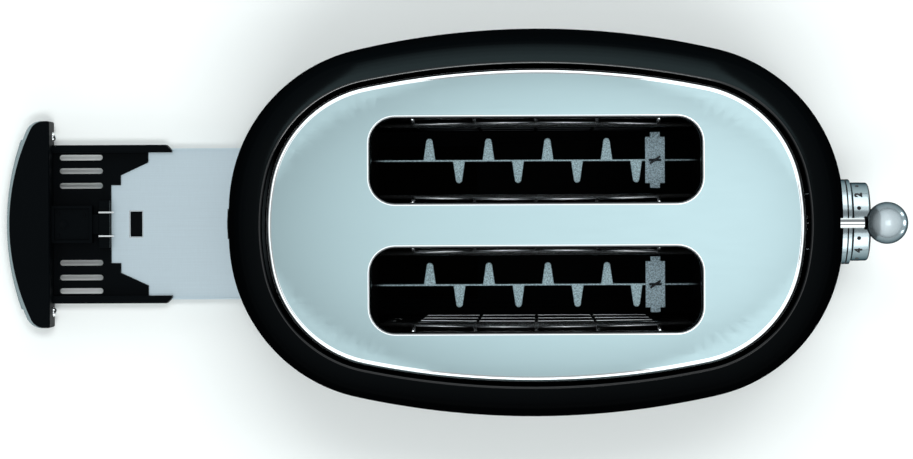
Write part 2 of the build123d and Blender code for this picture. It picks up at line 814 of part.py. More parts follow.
with BuildPart() as browning_dial:
    with BuildSketch(Plane.YZ.offset(dial_back)):
        with Locations((0, dial_height)):
            Circle(dial_radius)
    extrude(amount=dial_depth)
    fillet(browning_dial.edges().group_by(Axis.X)[-1], dial_round)
    fillet(browning_dial.edges().group_by(Axis.X)[0], dial_back_round)
    with BuildSketch(Plane.YZ.offset(dial_back + dial_depth)):
        with Locations((0, dial_height)):
            Circle(dial_dish_radius)
    extrude(amount=-dial_dish, taper=dial_dish_slope, mode=Mode.SUBTRACT)
    with BuildSketch(Plane.YZ.offset(dial_back)):
        with Locations((0, dial_height)):
            Circle(shaft_radius)
    extrude(amount=shaft_engage, mode=Mode.SUBTRACT)
finish_part("browning_dial", browning_dial.part)

with BuildPart() as dial_bezel:
    with BuildSketch(Plane.YZ.offset(bezel_face_x)):
        with Locations((0, dial_height)):
            Circle(bezel_radius)
    extrude(amount=-2 * bezel_radius)
    fillet(dial_bezel.edges().group_by(Axis.X)[-1], dial_back_round)
    add(bell(0, shell_bottom, body_height), mode=Mode.SUBTRACT)
    with BuildSketch(Plane.YZ.offset(bezel_face_x)):
        with Locations((0, dial_height)):
            Circle(shaft_radius + shaft_hole_play)
    extrude(amount=-2 * bezel_radius, mode=Mode.SUBTRACT)
finish_part("dial_bezel", dial_bezel.part)

# Push buttons under the dial
button_face_x = surface_x(button_height) + button_stand
button_inner_x = surface_x(button_height + button_flange_radius) - shell_wall - button_flange_gap
for step, button_name in ((-1, "defrost_button"), (0, "cancel_button"), (1, "reheat_button")):
    with BuildPart() as push_button:
        with BuildSketch(Plane.YZ.offset(button_face_x)):
            with Locations((step * button_pitch, button_height)):
                Circle(button_radius)
        extrude(amount=button_inner_x - button_face_x - button_flange)
        fillet(push_button.edges().group_by(Axis.X)[-1], button_round)
        with BuildSketch(Plane.YZ.offset(button_inner_x - button_flange)):
            with Locations((step * button_pitch, button_height)):
                Circle(button_flange_radius)
        extrude(amount=-button_flange)
        with BuildSketch(Plane.YZ.offset(button_inner_x - 2 * button_flange)):
            with Locations((step * button_pitch, button_height)):
                Circle(button_stem_radius)
        extrude(amount=board_face + tact_depth + button_travel + tact_gap
                - button_inner_x + 2 * button_flange)
    finish_part(button_name, push_button.part)

# Mains inlet gland and terminal block
rear_wall_x = -surface_x(gland_height)
nut_start = shell_wall + gland_nut_play - surface_x(gland_height + gland_radius)
with BuildPart() as cord_gland:
    with BuildSketch(Plane.YZ.offset(rear_wall_x - gland_neck)):
        with Locations((0, gland_height)):
            Circle(gland_radius)
    extrude(amount=2 * gland_neck)
    add(bell(-gland_stand, shell_bottom, body_height), mode=Mode.INTERSECT)
    add(bell(0, shell_bottom, body_height), mode=Mode.SUBTRACT)
    with BuildSketch(Plane.YZ.offset(rear_wall_x)):
        with Locations((0, gland_height)):
            Circle(gland_neck_radius)
    extrude(amount=gland_neck)
    with BuildSketch(Plane.YZ.offset(nut_start)):
        with Locations((0, gland_height)):
            Circle(gland_radius)
    extrude(amount=gland_nut)
    with BuildSketch(Plane.YZ.offset(rear_wall_x - gland_neck)):
        with Locations((0, gland_height)):
            Circle(gland_bore_radius)
    extrude(amount=3 * gland_neck, mode=Mode.SUBTRACT)
finish_part("cord_gland", cord_gland.part)

with BuildPart() as terminal_block:
    with BuildSketch(Plane.XY.offset(terminal_bottom)):
        with Locations((-outer_face - terminal_depth / 2, 0)):
            Rectangle(terminal_depth, terminal_width)
    extrude(amount=terminal_height)
finish_part("terminal_block", terminal_block.part)

# Screws from below through the pan into the chassis feet
with BuildPart() as chassis_screws:
    with BuildSketch(Plane.XY.offset(foot_height)):
        with Locations(*screw_spots):
            Circle(screw_head_radius)
    extrude(amount=screw_head)
    with BuildSketch(Plane.XY.offset(foot_height + screw_head)):
        with Locations(*screw_spots):
            Circle(screw_radius)
    extrude(amount=screw_length)
finish_part("chassis_screws", chassis_screws.part)


def draw_cap(depth, half, arc_radius):
    # the cap seen from above: flat inner face, square ends and a bowed outer face
    sag = arc_radius - math.sqrt(arc_radius ** 2 - half ** 2)
    Polyline((tray_face - depth + sag, half), (tray_face, half), (tray_face, -half),
             (tray_face - depth + sag, -half))
    ThreePointArc((tray_face - depth + sag, -half), (tray_face - depth, 0),
                  (tray_face - depth + sag, half))


def cap_face(depth, half, arc_radius, corner, level):
    with BuildSketch(Plane.XY.offset(level)) as section:
        with BuildLine():
            draw_cap(depth, half, arc_radius)
        make_face()
        fillet(section.vertices().group_by(Axis.X)[0], corner)
    return section.sketch


# Tray cap
with BuildPart() as tray_cap:
    extrude(cap_face(cap_depth, cap_half, cap_arc_radius, cap_corner_radius, cap_bottom),
            amount=cap_height)
finish_part("tray_cap", tray_cap.part)

# Bright band round the cap's outer face, a little thicker towards its ends
trim_depth = cap_depth + trim_sheet
trim_arc_radius = cap_arc_radius + trim_flatter
trim_corner_radius = cap_corner_radius + trim_sheet
with BuildPart() as tray_trim:
    extrude(cap_face(trim_depth, cap_half, trim_arc_radius, trim_corner_radius,
                     cap_bottom + trim_inset),
            amount=cap_height - 2 * trim_inset)
    extrude(cap_face(cap_depth, cap_half, cap_arc_radius, cap_corner_radius, cap_bottom),
            amount=cap_height, mode=Mode.SUBTRACT)
finish_part("tray_trim", tray_trim.part)

# Raised pull strip in the middle of the band
with BuildPart() as tray_pull:
    extrude(cap_face(trim_depth + pull_sheet, pull_half, trim_arc_radius + pull_flatter,
                     pull_sheet, cap_bottom + pull_inset),
            amount=cap_height - 2 * pull_inset)
    extrude(cap_face(trim_depth, cap_half, trim_arc_radius, trim_corner_radius, cap_bottom),
            amount=cap_height, mode=Mode.SUBTRACT)
finish_part("tray_pull", tray_pull.part)

# Domed studs on the cap's inner face
with BuildPart() as tray_studs:
    stud_level = cap_bottom + cap_height / 2
    for side in (-1, 1):
        with BuildSketch(Plane.YZ.offset(tray_face)):
            with Locations((side * stud_y, stud_level)):
                Circle(stud_radius)
        extrude(amount=stud_reach)
    fillet(tray_studs.edges().group_by(Axis.X)[-1], stud_round)
finish_part("tray_studs", tray_studs.part)

# Crumb plate with turned-up edges
crumb_start = tray_face + crumb_plate_start
crumb_plate_length = rod_x - boss_radius - crumb_end_gap - tray_closed_face - crumb_plate_start
with BuildPart() as crumb_plate:
    with BuildSketch(Plane.XY.offset(floor_bottom - crumb_plate_sheet)):
        with Locations((crumb_start + crumb_plate_length / 2, 0)):
            Rectangle(crumb_plate_length, 2 * crumb_plate_half)
        with Locations((tray_face + crumb_hole_start + crumb_hole_length / 2, 0)):
            Rectangle(crumb_hole_length, crumb_hole_width, mode=Mode.SUBTRACT)
    extrude(amount=crumb_plate_sheet)
    with BuildSketch(Plane.XY.offset(floor_bottom)):
        flange_length = crumb_plate_length + crumb_plate_start - rail_length
        for side in (-1, 1):
            with Locations((tray_face + rail_length + flange_length / 2,
                            side * (crumb_plate_half - crumb_plate_sheet / 2))):
                Rectangle(flange_length, crumb_plate_sheet)
    extrude(amount=crumb_flange)
finish_part("crumb_plate", crumb_plate.part)

# Black clip that closes the plate's hole from below
with BuildPart() as plate_clip:
    with BuildSketch(Plane.XY.offset(floor_bottom - crumb_plate_sheet)):
        with Locations((tray_face + crumb_hole_start + crumb_hole_length / 2, 0)):
            Rectangle(crumb_hole_length + 2 * clip_margin, crumb_hole_width + 2 * clip_margin)
    extrude(amount=-clip_sheet)
finish_part("plate_clip", plate_clip.part)

# Tray frame: two rails and a stepped, vented floor that lies over the crumb plate
with BuildPart() as tray_frame:
    with BuildSketch(Plane.XY.offset(floor_bottom)):
        with BuildLine():
            Polyline((tray_face, 0), (tray_face, rail_inner),
                     (tray_face + floor_wing[0], rail_inner), (tray_face + floor_wing[0], floor_wing[1]),
                     (tray_face + floor_step[0], floor_step[1]), (tray_face + floor_step[0], floor_middle[1]),
                     (tray_face + floor_middle[0], floor_middle[1]), (tray_face + floor_middle[0], 0))
            mirror(about=Plane.XZ)
        make_face()
        for row in vent_rows:
            with Locations(*[(tray_face + (vent_start + vent_end) / 2, side * row) for side in (-1, 1)]):
                SlotOverall(vent_end - vent_start, vent_width, mode=Mode.SUBTRACT)
    extrude(amount=floor_sheet)
    for side in (-1, 1):
        with BuildSketch(Plane.XY.offset(rail_bottom)) as rail:
            with Locations((tray_face + rail_length / 2, side * (rail_inner + rail_outer) / 2)):
                Rectangle(rail_length, rail_outer - rail_inner)
            tips = rail.vertices().group_by(Axis.X)[-1]
            chamfer(tips.sort_by(Axis.Y)[-1 if side > 0 else 0], rail_chamfer)
        extrude(amount=rail_height)
    with BuildSketch(Plane.XY.offset(floor_bottom - crumb_plate_sheet - groove_play)):
        with Locations((crumb_start - groove_play + crumb_plate_length / 2, 0)):
            Rectangle(crumb_plate_length, 2 * (crumb_plate_half + groove_play))
    extrude(amount=crumb_plate_sheet + groove_play, mode=Mode.SUBTRACT)
finish_part("tray_frame", tray_frame.part)

# Latch housing on the tray's floor, with its sunk lid
housing_bottom = floor_bottom + floor_sheet
with BuildPart() as latch_housing:
    with BuildSketch(Plane.XY.offset(housing_bottom)):
        with Locations((tray_face + housing_length / 2, 0)):
            Rectangle(housing_length, 2 * housing_half)
    extrude(amount=housing_height)
    with BuildSketch(Plane.XY.offset(housing_bottom + housing_floor)):
        with Locations((tray_face + housing_length / 2, 0)):
            Rectangle(housing_length - 2 * housing_wall, 2 * (housing_half - housing_wall))
    extrude(amount=housing_height, mode=Mode.SUBTRACT)
    with BuildSketch(Plane.YZ.offset(tray_face + housing_length)):
        with Locations((0, housing_bottom + latch_lift + latch_height / 2)):
            Rectangle(2 * (tongue_half + tongue_play), latch_height - housing_wall + tongue_play)
    extrude(amount=-2 * housing_wall, mode=Mode.SUBTRACT)
finish_part("latch_housing", latch_housing.part)

with BuildPart() as latch_lid:
    with BuildSketch(Plane.XY.offset(housing_bottom + housing_height - lid_recess)):
        with Locations((tray_face + housing_length / 2, 0)):
            Rectangle(housing_length - 2 * housing_wall, 2 * (housing_half - housing_wall))
    extrude(amount=-lid_sheet)
finish_part("latch_lid", latch_lid.part)

# Sliding latch: cross block, tongue into the housing and the two bright wire legs
with BuildPart() as tray_latch:
    with BuildSketch(Plane.XY.offset(housing_bottom + latch_lift)):
        with Locations((tray_face + (latch_start + latch_end) / 2, 0)):
            Rectangle(latch_end - latch_start, 2 * latch_half)
    extrude(amount=latch_height)
    with BuildSketch(Plane.YZ.offset(tray_face + latch_start)):
        with Locations((0, housing_bottom + latch_lift + latch_height / 2)):
            Rectangle(2 * tongue_half, latch_height - housing_wall - tongue_play)
    extrude(amount=-tongue_length)
finish_part("tray_latch", tray_latch.part)

latch_wire_level = housing_bottom + latch_lift + latch_height
with BuildPart() as latch_wires:
    for side in (-1, 1):
        with BuildSketch(Plane.YZ.offset(tray_face + latch_start)):
            with Locations((side * latch_wire_y, latch_wire_level + latch_wire_radius)):
                Circle(latch_wire_radius)
        extrude(amount=latch_wire_end - latch_start)
finish_part("latch_wires", latch_wires.part)
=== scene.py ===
import json
import math

import bmesh
import bpy
from mathutils import Matrix, Vector


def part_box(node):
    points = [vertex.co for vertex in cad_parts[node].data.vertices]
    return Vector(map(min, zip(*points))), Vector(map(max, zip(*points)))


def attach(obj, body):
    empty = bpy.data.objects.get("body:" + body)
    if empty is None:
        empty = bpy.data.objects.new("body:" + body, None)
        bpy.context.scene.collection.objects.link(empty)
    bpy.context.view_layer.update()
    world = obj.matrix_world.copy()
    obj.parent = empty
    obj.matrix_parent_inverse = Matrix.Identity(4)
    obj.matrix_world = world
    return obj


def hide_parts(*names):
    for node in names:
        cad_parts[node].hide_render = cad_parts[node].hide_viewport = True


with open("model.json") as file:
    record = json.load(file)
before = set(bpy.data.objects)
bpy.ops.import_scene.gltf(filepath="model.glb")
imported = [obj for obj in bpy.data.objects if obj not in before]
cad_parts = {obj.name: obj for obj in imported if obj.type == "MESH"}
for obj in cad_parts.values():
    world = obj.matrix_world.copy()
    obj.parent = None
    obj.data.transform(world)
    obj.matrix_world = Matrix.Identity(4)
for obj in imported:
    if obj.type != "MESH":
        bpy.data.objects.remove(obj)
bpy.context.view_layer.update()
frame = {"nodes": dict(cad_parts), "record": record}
scene = bpy.context.scene
scene.view_settings.view_transform = "Standard"
print("frame loaded:", len(frame["nodes"]), "nodes")


# Camera: straight above the toaster, with the lens shifted to frame the pulled-out tray
camera = {
    "place": (0.0, 0.0088, 1.4818),
    "lens": 114.0,
    "sensor": 36.0,
    "shift": (-0.0871, -0.0268),
    "roll": -0.25,  # degrees
}
lens = bpy.data.cameras.new("camera")
lens.lens = camera["lens"]
lens.sensor_width = camera["sensor"]
lens.shift_x, lens.shift_y = camera["shift"]
lens.clip_start, lens.clip_end = 0.01, 50.0
viewer = bpy.data.objects.new("camera", lens)
viewer.location = camera["place"]
viewer.rotation_euler = (0.0, 0.0, math.radians(camera["roll"]))
scene.collection.objects.link(viewer)
scene.camera = viewer
print("camera ready")


# Shader maths: a wire is a socket, and sums on wires add Math nodes
class Wire:
    def __init__(self, tree, socket):
        self.tree = tree
        self.socket = socket

    def sum(self, operation, *values):
        made = self.tree.nodes.new("ShaderNodeMath")
        made.operation = operation
        for place, value in zip(made.inputs, values):
            plug(self.tree, place, value)
        return Wire(self.tree, made.outputs[0])

    def __add__(self, other):
        return self.sum("ADD", self, other)

    def __radd__(self, other):
        return self.sum("ADD", other, self)

    def __rsub__(self, other):
        return self.sum("SUBTRACT", other, self)

    def __mul__(self, other):
        return self.sum("MULTIPLY", self, other)

    def __rmul__(self, other):
        return self.sum("MULTIPLY", other, self)

    def over(self, edge, softness):
        # 0 below the edge, 1 above it, with a soft step between
        step = self.tree.nodes.new("ShaderNodeMapRange")
        step.interpolation_type = "SMOOTHSTEP"
        plug(self.tree, step.inputs["Value"], self)
        step.inputs["From Min"].default_value = edge - softness
        step.inputs["From Max"].default_value = edge + softness
        return Wire(self.tree, step.outputs[0])


def plug(tree, place, value):
    if isinstance(value, Wire):
        tree.links.new(value.socket, place)
    else:
        place.default_value = value


# A finish under construction: one material with its principled shader
class Finish:
    def __init__(self, name, **constants):
        self.material = bpy.data.materials.new(name)
        self.material.use_nodes = True
        self.tree = self.material.node_tree
        self.shader = self.tree.nodes["Principled BSDF"]
        for key, value in constants.items():
            self.shader.inputs[key.replace("_", " ")].default_value = value

    def node(self, kind, settings=None, sockets=None, output=0):
        made = self.tree.nodes.new(kind)
        for key, value in (settings or {}).items():
            setattr(made, key, value)
        for key, value in (sockets or {}).items():
            plug(self.tree, socketNamed(made.inputs, key), value)
        if isinstance(output, str):
            return Wire(self.tree, socketNamed(made.outputs, output))
        return Wire(self.tree, made.outputs[output])

    def place(self, scale=(1.0, 1.0, 1.0), turn=(0.0, 0.0, 0.0), centre=(0.0, 0.0, 0.0)):
        here = self.node("ShaderNodeTexCoord", output="Object")
        shifted = self.node("ShaderNodeVectorMath", {"operation": "SUBTRACT"}, {0: here, 1: centre})
        return self.node("ShaderNodeMapping", {}, {"Vector": shifted, "Rotation": turn, "Scale": scale})

    def noise(self, vector, scale, detail=2.0, roughness=0.5):
        return self.node("ShaderNodeTexNoise", {},
                         {"Vector": vector, "Scale": scale, "Detail": detail, "Roughness": roughness})

    def mixed(self, share, first, second):
        return self.node("ShaderNodeMix", {"data_type": "RGBA"},
                         {"Factor_Float": share, "A_Color": first, "B_Color": second}, "Result_Color")

    def bumped(self, height, strength, distance):
        # the finished material, with a relief
        bent = self.node("ShaderNodeBump", {},
                         {"Height": height, "Strength": strength, "Distance": distance})
        plug(self.tree, self.shader.inputs["Normal"], bent)
        return self.material

    def feed(self, **wires):
        for key, wire in wires.items():
            plug(self.tree, self.shader.inputs[key.replace("_", " ")], wire)


def socketNamed(sockets, key):
    if isinstance(key, int):
        return sockets[key]
    return next(place for place in sockets if key in (place.identifier, place.name))


def fillRamp(ramp, stops):
    while len(ramp.elements) < len(stops):
        ramp.elements.new(0.5)
    for element, (position, colour) in zip(ramp.elements, stops):
        element.position = position
        element.color = (*colour, 1.0)


def rgb(red, green, blue):
    return (red, green, blue, 1.0)


def middleOf(node):
    # the middle of a CAD node's box
    low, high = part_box(node)
    return (low + high) / 2


# Glossy black enamel with a faint orange peel; its clear coat fades where it is seen edge on
def makeGlossBlack(name, coat):
    finish = Finish(name, Specular_IOR_Level=0.0, Coat_Roughness=0.17, Coat_IOR=1.5, Roughness=0.5)
    here = finish.place()
    cloud = finish.noise(here, 9.0, 3.0)
    facing = finish.node("ShaderNodeLayerWeight", {}, {"Blend": 0.5}, "Facing")
    finish.feed(Base_Color=finish.mixed(cloud, rgb(0.0010, 0.0013, 0.0016), rgb(0.0022, 0.0026, 0.0030)),
                Coat_Weight=coat * (1.0 - facing.over(0.30, 0.14)))
    return finish.bumped(finish.noise(here, 420.0, 1.0), 0.04, 0.0002)


# Satin plate: fine even grain, with a slight drift in tone
def makeSatinPlate():
    finish = Finish("satinPlate", Metallic=1.0)
    here = finish.place()
    grain = finish.noise(finish.place((60.0, 1500.0, 1500.0)), 1.0, 3.0, 0.6)
    drift = finish.noise(here, 7.0, 2.0)
    finish.feed(Base_Color=finish.mixed(drift, rgb(0.458, 0.613, 0.643), rgb(0.502, 0.652, 0.682)),
                Roughness=0.27 + 0.06 * grain + 0.03 * drift)
    return finish.bumped(grain, 0.03, 0.0001)


# Polished metal for rolled edges and rims
def makePolished(name, colour, low=0.05):
    finish = Finish(name, Metallic=1.0)
    here = finish.place()
    smear = finish.noise(here, 240.0, 3.0)
    dull = tuple(value * 0.93 for value in colour[:3])
    finish.feed(Base_Color=finish.mixed(smear, colour, rgb(*dull)),
                Roughness=low + 0.05 * smear)
    return finish.bumped(finish.noise(here, 900.0, 1.0), 0.02, 0.0001)


# Smoky satin chrome of the ball: a thin grey film over the metal, deeper where it is seen aslant
def makeSatinChrome():
    finish = Finish("satinChrome", Metallic=0.78, Coat_Weight=1.0, Coat_IOR=1.0, Coat_Roughness=0.0,
                    Coat_Tint=rgb(0.42, 0.47, 0.49))
    here = finish.place()
    grain = finish.noise(here, 1600.0, 2.0)
    finish.feed(Base_Color=finish.mixed(grain, rgb(0.82, 0.85, 0.86), rgb(0.90, 0.93, 0.94)),
                Roughness=0.22 + 0.05 * grain)
    return finish.bumped(grain, 0.03, 0.0001)


# Turned satin silver: rings of fine lathe marks about the dial's own axis
def makeSatinSilver():
    finish = Finish("satinSilver", Metallic=1.0, Coat_Weight=1.0, Coat_IOR=1.0, Coat_Roughness=0.0,
                    Coat_Tint=rgb(0.47, 0.53, 0.55))
    middle = tuple(middleOf("browning_dial"))
    here = finish.place(centre=middle)
    grain = finish.noise(here, 2200.0, 2.0)
    across = finish.noise(finish.place((2600.0, 40.0, 40.0), centre=middle), 1.0, 2.0)
    finish.feed(Base_Color=finish.mixed(grain, rgb(0.86, 0.90, 0.91), rgb(0.94, 0.97, 0.98)),
                Roughness=0.13 + 0.08 * grain)
    return finish.bumped(across + 0.5 * grain, 0.05, 0.0001)


# Moulded black plastic with a fine spark-eroded texture
def makePlastic(name, colour, rough=0.42, grainSize=1900.0):
    finish = Finish(name, Specular_IOR_Level=0.045)
    here = finish.place()
    grain = finish.noise(here, grainSize, 2.0)
    cloud = finish.noise(here, 18.0, 3.0)
    lighter = tuple(value * 1.5 for value in colour[:3])
    finish.feed(Base_Color=finish.mixed(cloud * grain, colour, rgb(*lighter)),
                Roughness=rough + 0.12 * grain)
    return finish.bumped(grain, 0.12, 0.0002)


# Brushed sheet: long fine scratches one way, shorter ones across, and painted near black past a line along
# X, as painted shade where the sheet lies inside the toaster
def makeBrushed(name, colour, rough=0.3):
    finish = Finish(name, Metallic=1.0)
    parts = finish.node("ShaderNodeSeparateXYZ", {}, {"Vector": finish.place()}, "X")
    # painted shade: past a line along X the sheet turns near black, where it lies inside the toaster
    insideShade = parts.over(crumb["insideShadeFrom"], crumb["insideShadeFade"])
    along = finish.noise(finish.place((25.0, 1700.0, 900.0)), 1.0, 3.0, 0.65)
    across = finish.noise(finish.place((1500.0, 120.0, 900.0)), 1.0, 2.0, 0.6)
    grain = 0.65 * along + 0.35 * across
    darker = tuple(value * 0.84 for value in colour[:3])
    bright = finish.mixed(grain, rgb(*darker), colour)
    finish.feed(Base_Color=finish.mixed(insideShade, bright, rgb(0.010, 0.009, 0.008)),
                Roughness=rough + 0.14 * grain + 0.35 * insideShade)
    return finish.bumped(grain, 0.10, 0.0002)


crumb = {
    # where the crumb plate's painted shade begins along X, and how soft its edge is
    "insideShadeFrom": -0.140,
    "insideShadeFade": 0.008,
    "sheet": 0.0008,
    "clipMargin": 0.0020,
    "rimWidth": 0.0005,
    "rimHeight": 0.00025,
}


rack = {
    "edge": 0.00028,
    "lugFrom": 0.0009,
    "bow": 0.0019,
    "litReach": 0.0140,
    # where the painted shade at the racks' ends begins along X, and how soft its edge is
    "endShadeFrom": 0.0720,
    "endShadeFade": 0.0030,
}


# Speckled zinc-like steel of the bread racks, painted dark at its ends as shade under the top plate
def makeSpeckled(name, dark, light, rough=0.38):
    finish = Finish(name, Metallic=0.85)
    here = finish.place()
    speck = finish.noise(here, 1700.0, 3.0, 0.75).over(0.5, 0.09)
    parts = finish.node("ShaderNodeSeparateXYZ", {}, {"Vector": here}, "X")
    # painted shade: beyond a distance along X the steel turns near black, where it runs under the top plate
    endShade = parts.sum("ABSOLUTE", parts).over(rack["endShadeFrom"], rack["endShadeFade"])
    bright = finish.mixed(speck, dark, light)
    finish.feed(Base_Color=finish.mixed(endShade, bright, rgb(0.006, 0.006, 0.007)),
                Roughness=rough + 0.15 * speck)
    return finish.bumped(speck, 0.10, 0.0002)


# Sheet metal inside, browned a little towards the heaters
def makeInnerSteel(name, colour, rough=0.36):
    finish = Finish(name, Metallic=0.9)
    here = finish.place()
    stain = finish.noise(here, 32.0, 4.0, 0.6)
    fine = finish.noise(here, 900.0, 2.0)
    browned = rgb(colour[0] * 0.72, colour[1] * 0.62, colour[2] * 0.54)
    finish.feed(Base_Color=finish.mixed(stain.over(0.55, 0.2), colour, browned),
                Roughness=rough + 0.16 * stain)
    return finish.bumped(fine, 0.05, 0.0002)


# Mica card painted near black as the shade deep in the bread wells, with flakes that catch the light
def makeMica():
    finish = Finish("shadedMica", Specular_IOR_Level=0.4)
    here = finish.place()
    flake = finish.node("ShaderNodeTexVoronoi", {}, {"Vector": here, "Scale": 420.0}, "Color")
    tone = finish.node("ShaderNodeSeparateColor", {}, {"Color": flake})
    cloud = finish.noise(here, 60.0, 4.0)
    finish.feed(Base_Color=finish.mixed(tone * cloud, rgb(0.016, 0.013, 0.010), rgb(0.060, 0.048, 0.036)),
                Roughness=0.35 + 0.3 * tone)
    return finish.bumped(tone, 0.15, 0.0001)


# Varnished copper winding, one fine ridge to a turn
def makeCopper():
    finish = Finish("copperWinding", Metallic=1.0)
    turns = finish.node("ShaderNodeTexWave", {"wave_type": "BANDS", "bands_direction": "Z"},
                        {"Vector": finish.place(), "Scale": 420.0, "Distortion": 0.4}, "Fac")
    finish.feed(Base_Color=finish.mixed(turns, rgb(0.22, 0.075, 0.030), rgb(0.62, 0.25, 0.10)),
                Roughness=0.28 + 0.1 * turns)
    return finish.bumped(turns, 0.5, 0.0003)


# Printed board with its tracks
def makeBoard():
    finish = Finish("boardGreen", Specular_IOR_Level=0.5)
    cells = finish.node("ShaderNodeTexBrick", {"offset": 0.37},
                        {"Vector": finish.place((1.0, 1.0, 1.0), (0.0, math.pi / 2, 0.0)), "Scale": 60.0,
                         "Mortar Size": 0.02, "Color1": rgb(0.010, 0.085, 0.035),
                         "Color2": rgb(0.012, 0.110, 0.045), "Mortar": rgb(0.16, 0.13, 0.05)})
    finish.feed(Base_Color=cells, Roughness=0.3 + 0.2 * finish.noise(finish.place(), 300.0))
    return finish.material


# Dull lettering ink
def makeInk():
    finish = Finish("dialInk", Specular_IOR_Level=0.3)
    grain = finish.noise(finish.place(), 1500.0)
    finish.feed(Base_Color=finish.mixed(grain, rgb(0.003, 0.004, 0.005), rgb(0.010, 0.011, 0.013)),
                Roughness=0.4 + 0.2 * grain)
    return finish.material


glossBlack = makeGlossBlack("glossBlack", 0.12)
lipBlack = makeGlossBlack("lipBlack", 1.0)
satinPlate = makeSatinPlate()
polishedEdge = makePolished("polishedEdge", rgb(0.90, 0.93, 0.94))
chrome = makePolished("chrome", rgb(0.84, 0.87, 0.88), 0.03)
satinChrome = makeSatinChrome()
satinSilver = makeSatinSilver()
blackPlastic = makePlastic("blackPlastic", rgb(0.0016, 0.0028, 0.0038))
rubberBlack = makePlastic("rubberBlack", rgb(0.010, 0.010, 0.010), 0.62, 900.0)
palePlastic = makePlastic("palePlastic", rgb(0.42, 0.40, 0.34), 0.4)
brushedTray = makeBrushed("brushedTray", rgb(0.79, 0.93, 1.0))
rackSteel = makeSpeckled("rackSteel", rgb(0.28, 0.40, 0.44), rgb(0.74, 0.95, 1.0))
crossSteel = makeSpeckled("crossSteel", rgb(0.18, 0.25, 0.28), rgb(0.60, 0.76, 0.84))
# painted shade: near-black metal for the slot rolls and skirts, standing for their shade
slotShadeEdge = makePolished("slotShadeEdge", rgb(0.012, 0.014, 0.016), 0.2)
guardWire = makePolished("guardWire", rgb(0.92, 0.96, 0.98), 0.15)
trimSilver = makePolished("trimSilver", rgb(0.42, 0.52, 0.54), 0.22)
# painted shade: a near-black copy of the guard wire, for wire deep in the well
wellShadeWire = makePolished("wellShadeWire", rgb(0.05, 0.055, 0.06), 0.3)
steelSheet = makeInnerSteel("steelSheet", rgb(0.42, 0.43, 0.44))
# painted shade: a dark grey copy of the sheet steel for the pieces deep in the wells
innerSteel = makeInnerSteel("innerSteel", rgb(0.10, 0.10, 0.10), 0.5)
# painted shade: a near-black copy of the sheet steel for the racks' twisted lugs
lugShadeSteel = makeInnerSteel("lugShadeSteel", rgb(0.03, 0.035, 0.04), 0.3)
shadedMica = makeMica()
# painted shade: the heater ribbon is made dark grey, for the shade deep in the wells
shadedHeaterAlloy = makeInnerSteel("shadedHeaterAlloy", rgb(0.10, 0.09, 0.085), 0.45)
copperWinding = makeCopper()
boardGreen = makeBoard()
dialInk = makeInk()
slotFinish = {
    "gloss_black": glossBlack, "satin_plate": satinPlate, "satin_silver": satinSilver,
    "satin_chrome": satinChrome, "chrome": chrome, "black_plastic": blackPlastic,
    "pale_plastic": palePlastic, "brushed_tray": brushedTray, "steel_sheet": steelSheet,
    "inner_steel": innerSteel, "rack_steel": rackSteel, "guard_wire": guardWire, "mica": shadedMica,
    "heater_alloy": shadedHeaterAlloy, "copper": copperWinding, "board_green": boardGreen,
    "rubber": rubberBlack,
}
nodeSlot = {}
for name, node in frame["nodes"].items():
    nodeSlot[name] = node.data.materials[0].name
    node.data.materials[0] = slotFinish[nodeSlot[name]]
print("finishes ready:", len(slotFinish))


# Shared modelling helpers
def meshOf(name, shape):
    # a mesh made from a bmesh, which is used up
    mesh = bpy.data.meshes.new(name)
    shape.to_mesh(mesh)
    shape.free()
    return mesh


def placed(name, data):
    # an object in the scene that holds a mesh, a letter or a lamp
    made = bpy.data.objects.new(name, data)
    scene.collection.objects.link(made)
    return made


def dress(name, mesh, finishes, body, nodes, sharp=40.0):
    # a piece that rides on a body and stands for CAD nodes; edges above the sharp angle stay sharp
    piece = placed(name, mesh)
    for finish in finishes:
        mesh.materials.append(finish)
    mesh.shade_smooth()
    mesh.set_sharp_from_angle(angle=math.radians(sharp))
    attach(piece, body)
    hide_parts(*nodes)
    return piece


def bodyOf(node):
    return next(body for body, members in frame["record"]["behaviour"]["bodies"].items()
                if node in members)


def only(kind, items):
    # the bmesh elements of one kind
    return [item for item in items if isinstance(item, kind)]


def pushRing(shape, edges, places, finish=0):
    # extrudes a closed ring of edges, moves the new ring to its places and returns its edges
    made = bmesh.ops.extrude_edge_only(shape, edges=edges)["geom"]
    ring = only(bmesh.types.BMVert, made)
    index = shape.verts.layers.int["station"]
    for vert in ring:
        vert.co = places[vert[index]]
    for face in only(bmesh.types.BMFace, made):
        face.material_index = finish
    ring = set(ring)
    return [edge for edge in only(bmesh.types.BMEdge, made) if ring.issuperset(edge.verts)]


def startRing(shape, places):
    # a circle whose points are moved to their stations; each point remembers its number
    index = shape.verts.layers.int.get("station") or shape.verts.layers.int.new("station")
    made = bmesh.ops.create_circle(shape, segments=len(places), radius=1.0)["verts"]
    made.sort(key=lambda vert: math.atan2(vert.co.y, vert.co.x) % math.tau)
    for number, vert in enumerate(made):
        vert[index] = number
        vert.co = places[number]
    return list({edge for vert in made for edge in vert.link_edges})


def closeUp(shape):
    bmesh.ops.recalc_face_normals(shape, faces=shape.faces)


def pieceName(node):
    # bread_rack_left becomes breadRackLeft
    first, *rest = node.split("_")
    return first + "".join(word.capitalize() for word in rest)


def standFor(node, shape, finishes=None, sharp=40.0):
    # a piece that stands for one CAD node, on its body and in its slot
    name = pieceName(node)
    return dress(name, meshOf(name, shape), finishes or [slotFinish[nodeSlot[node]]], bodyOf(node),
                 [node], sharp)


def detail(name, shape, finish, body, slotName, sharp=40.0):
    # a piece of finish detail that stands for no CAD node
    return dress(name, meshOf(name, shape), [finish], body, [], sharp)


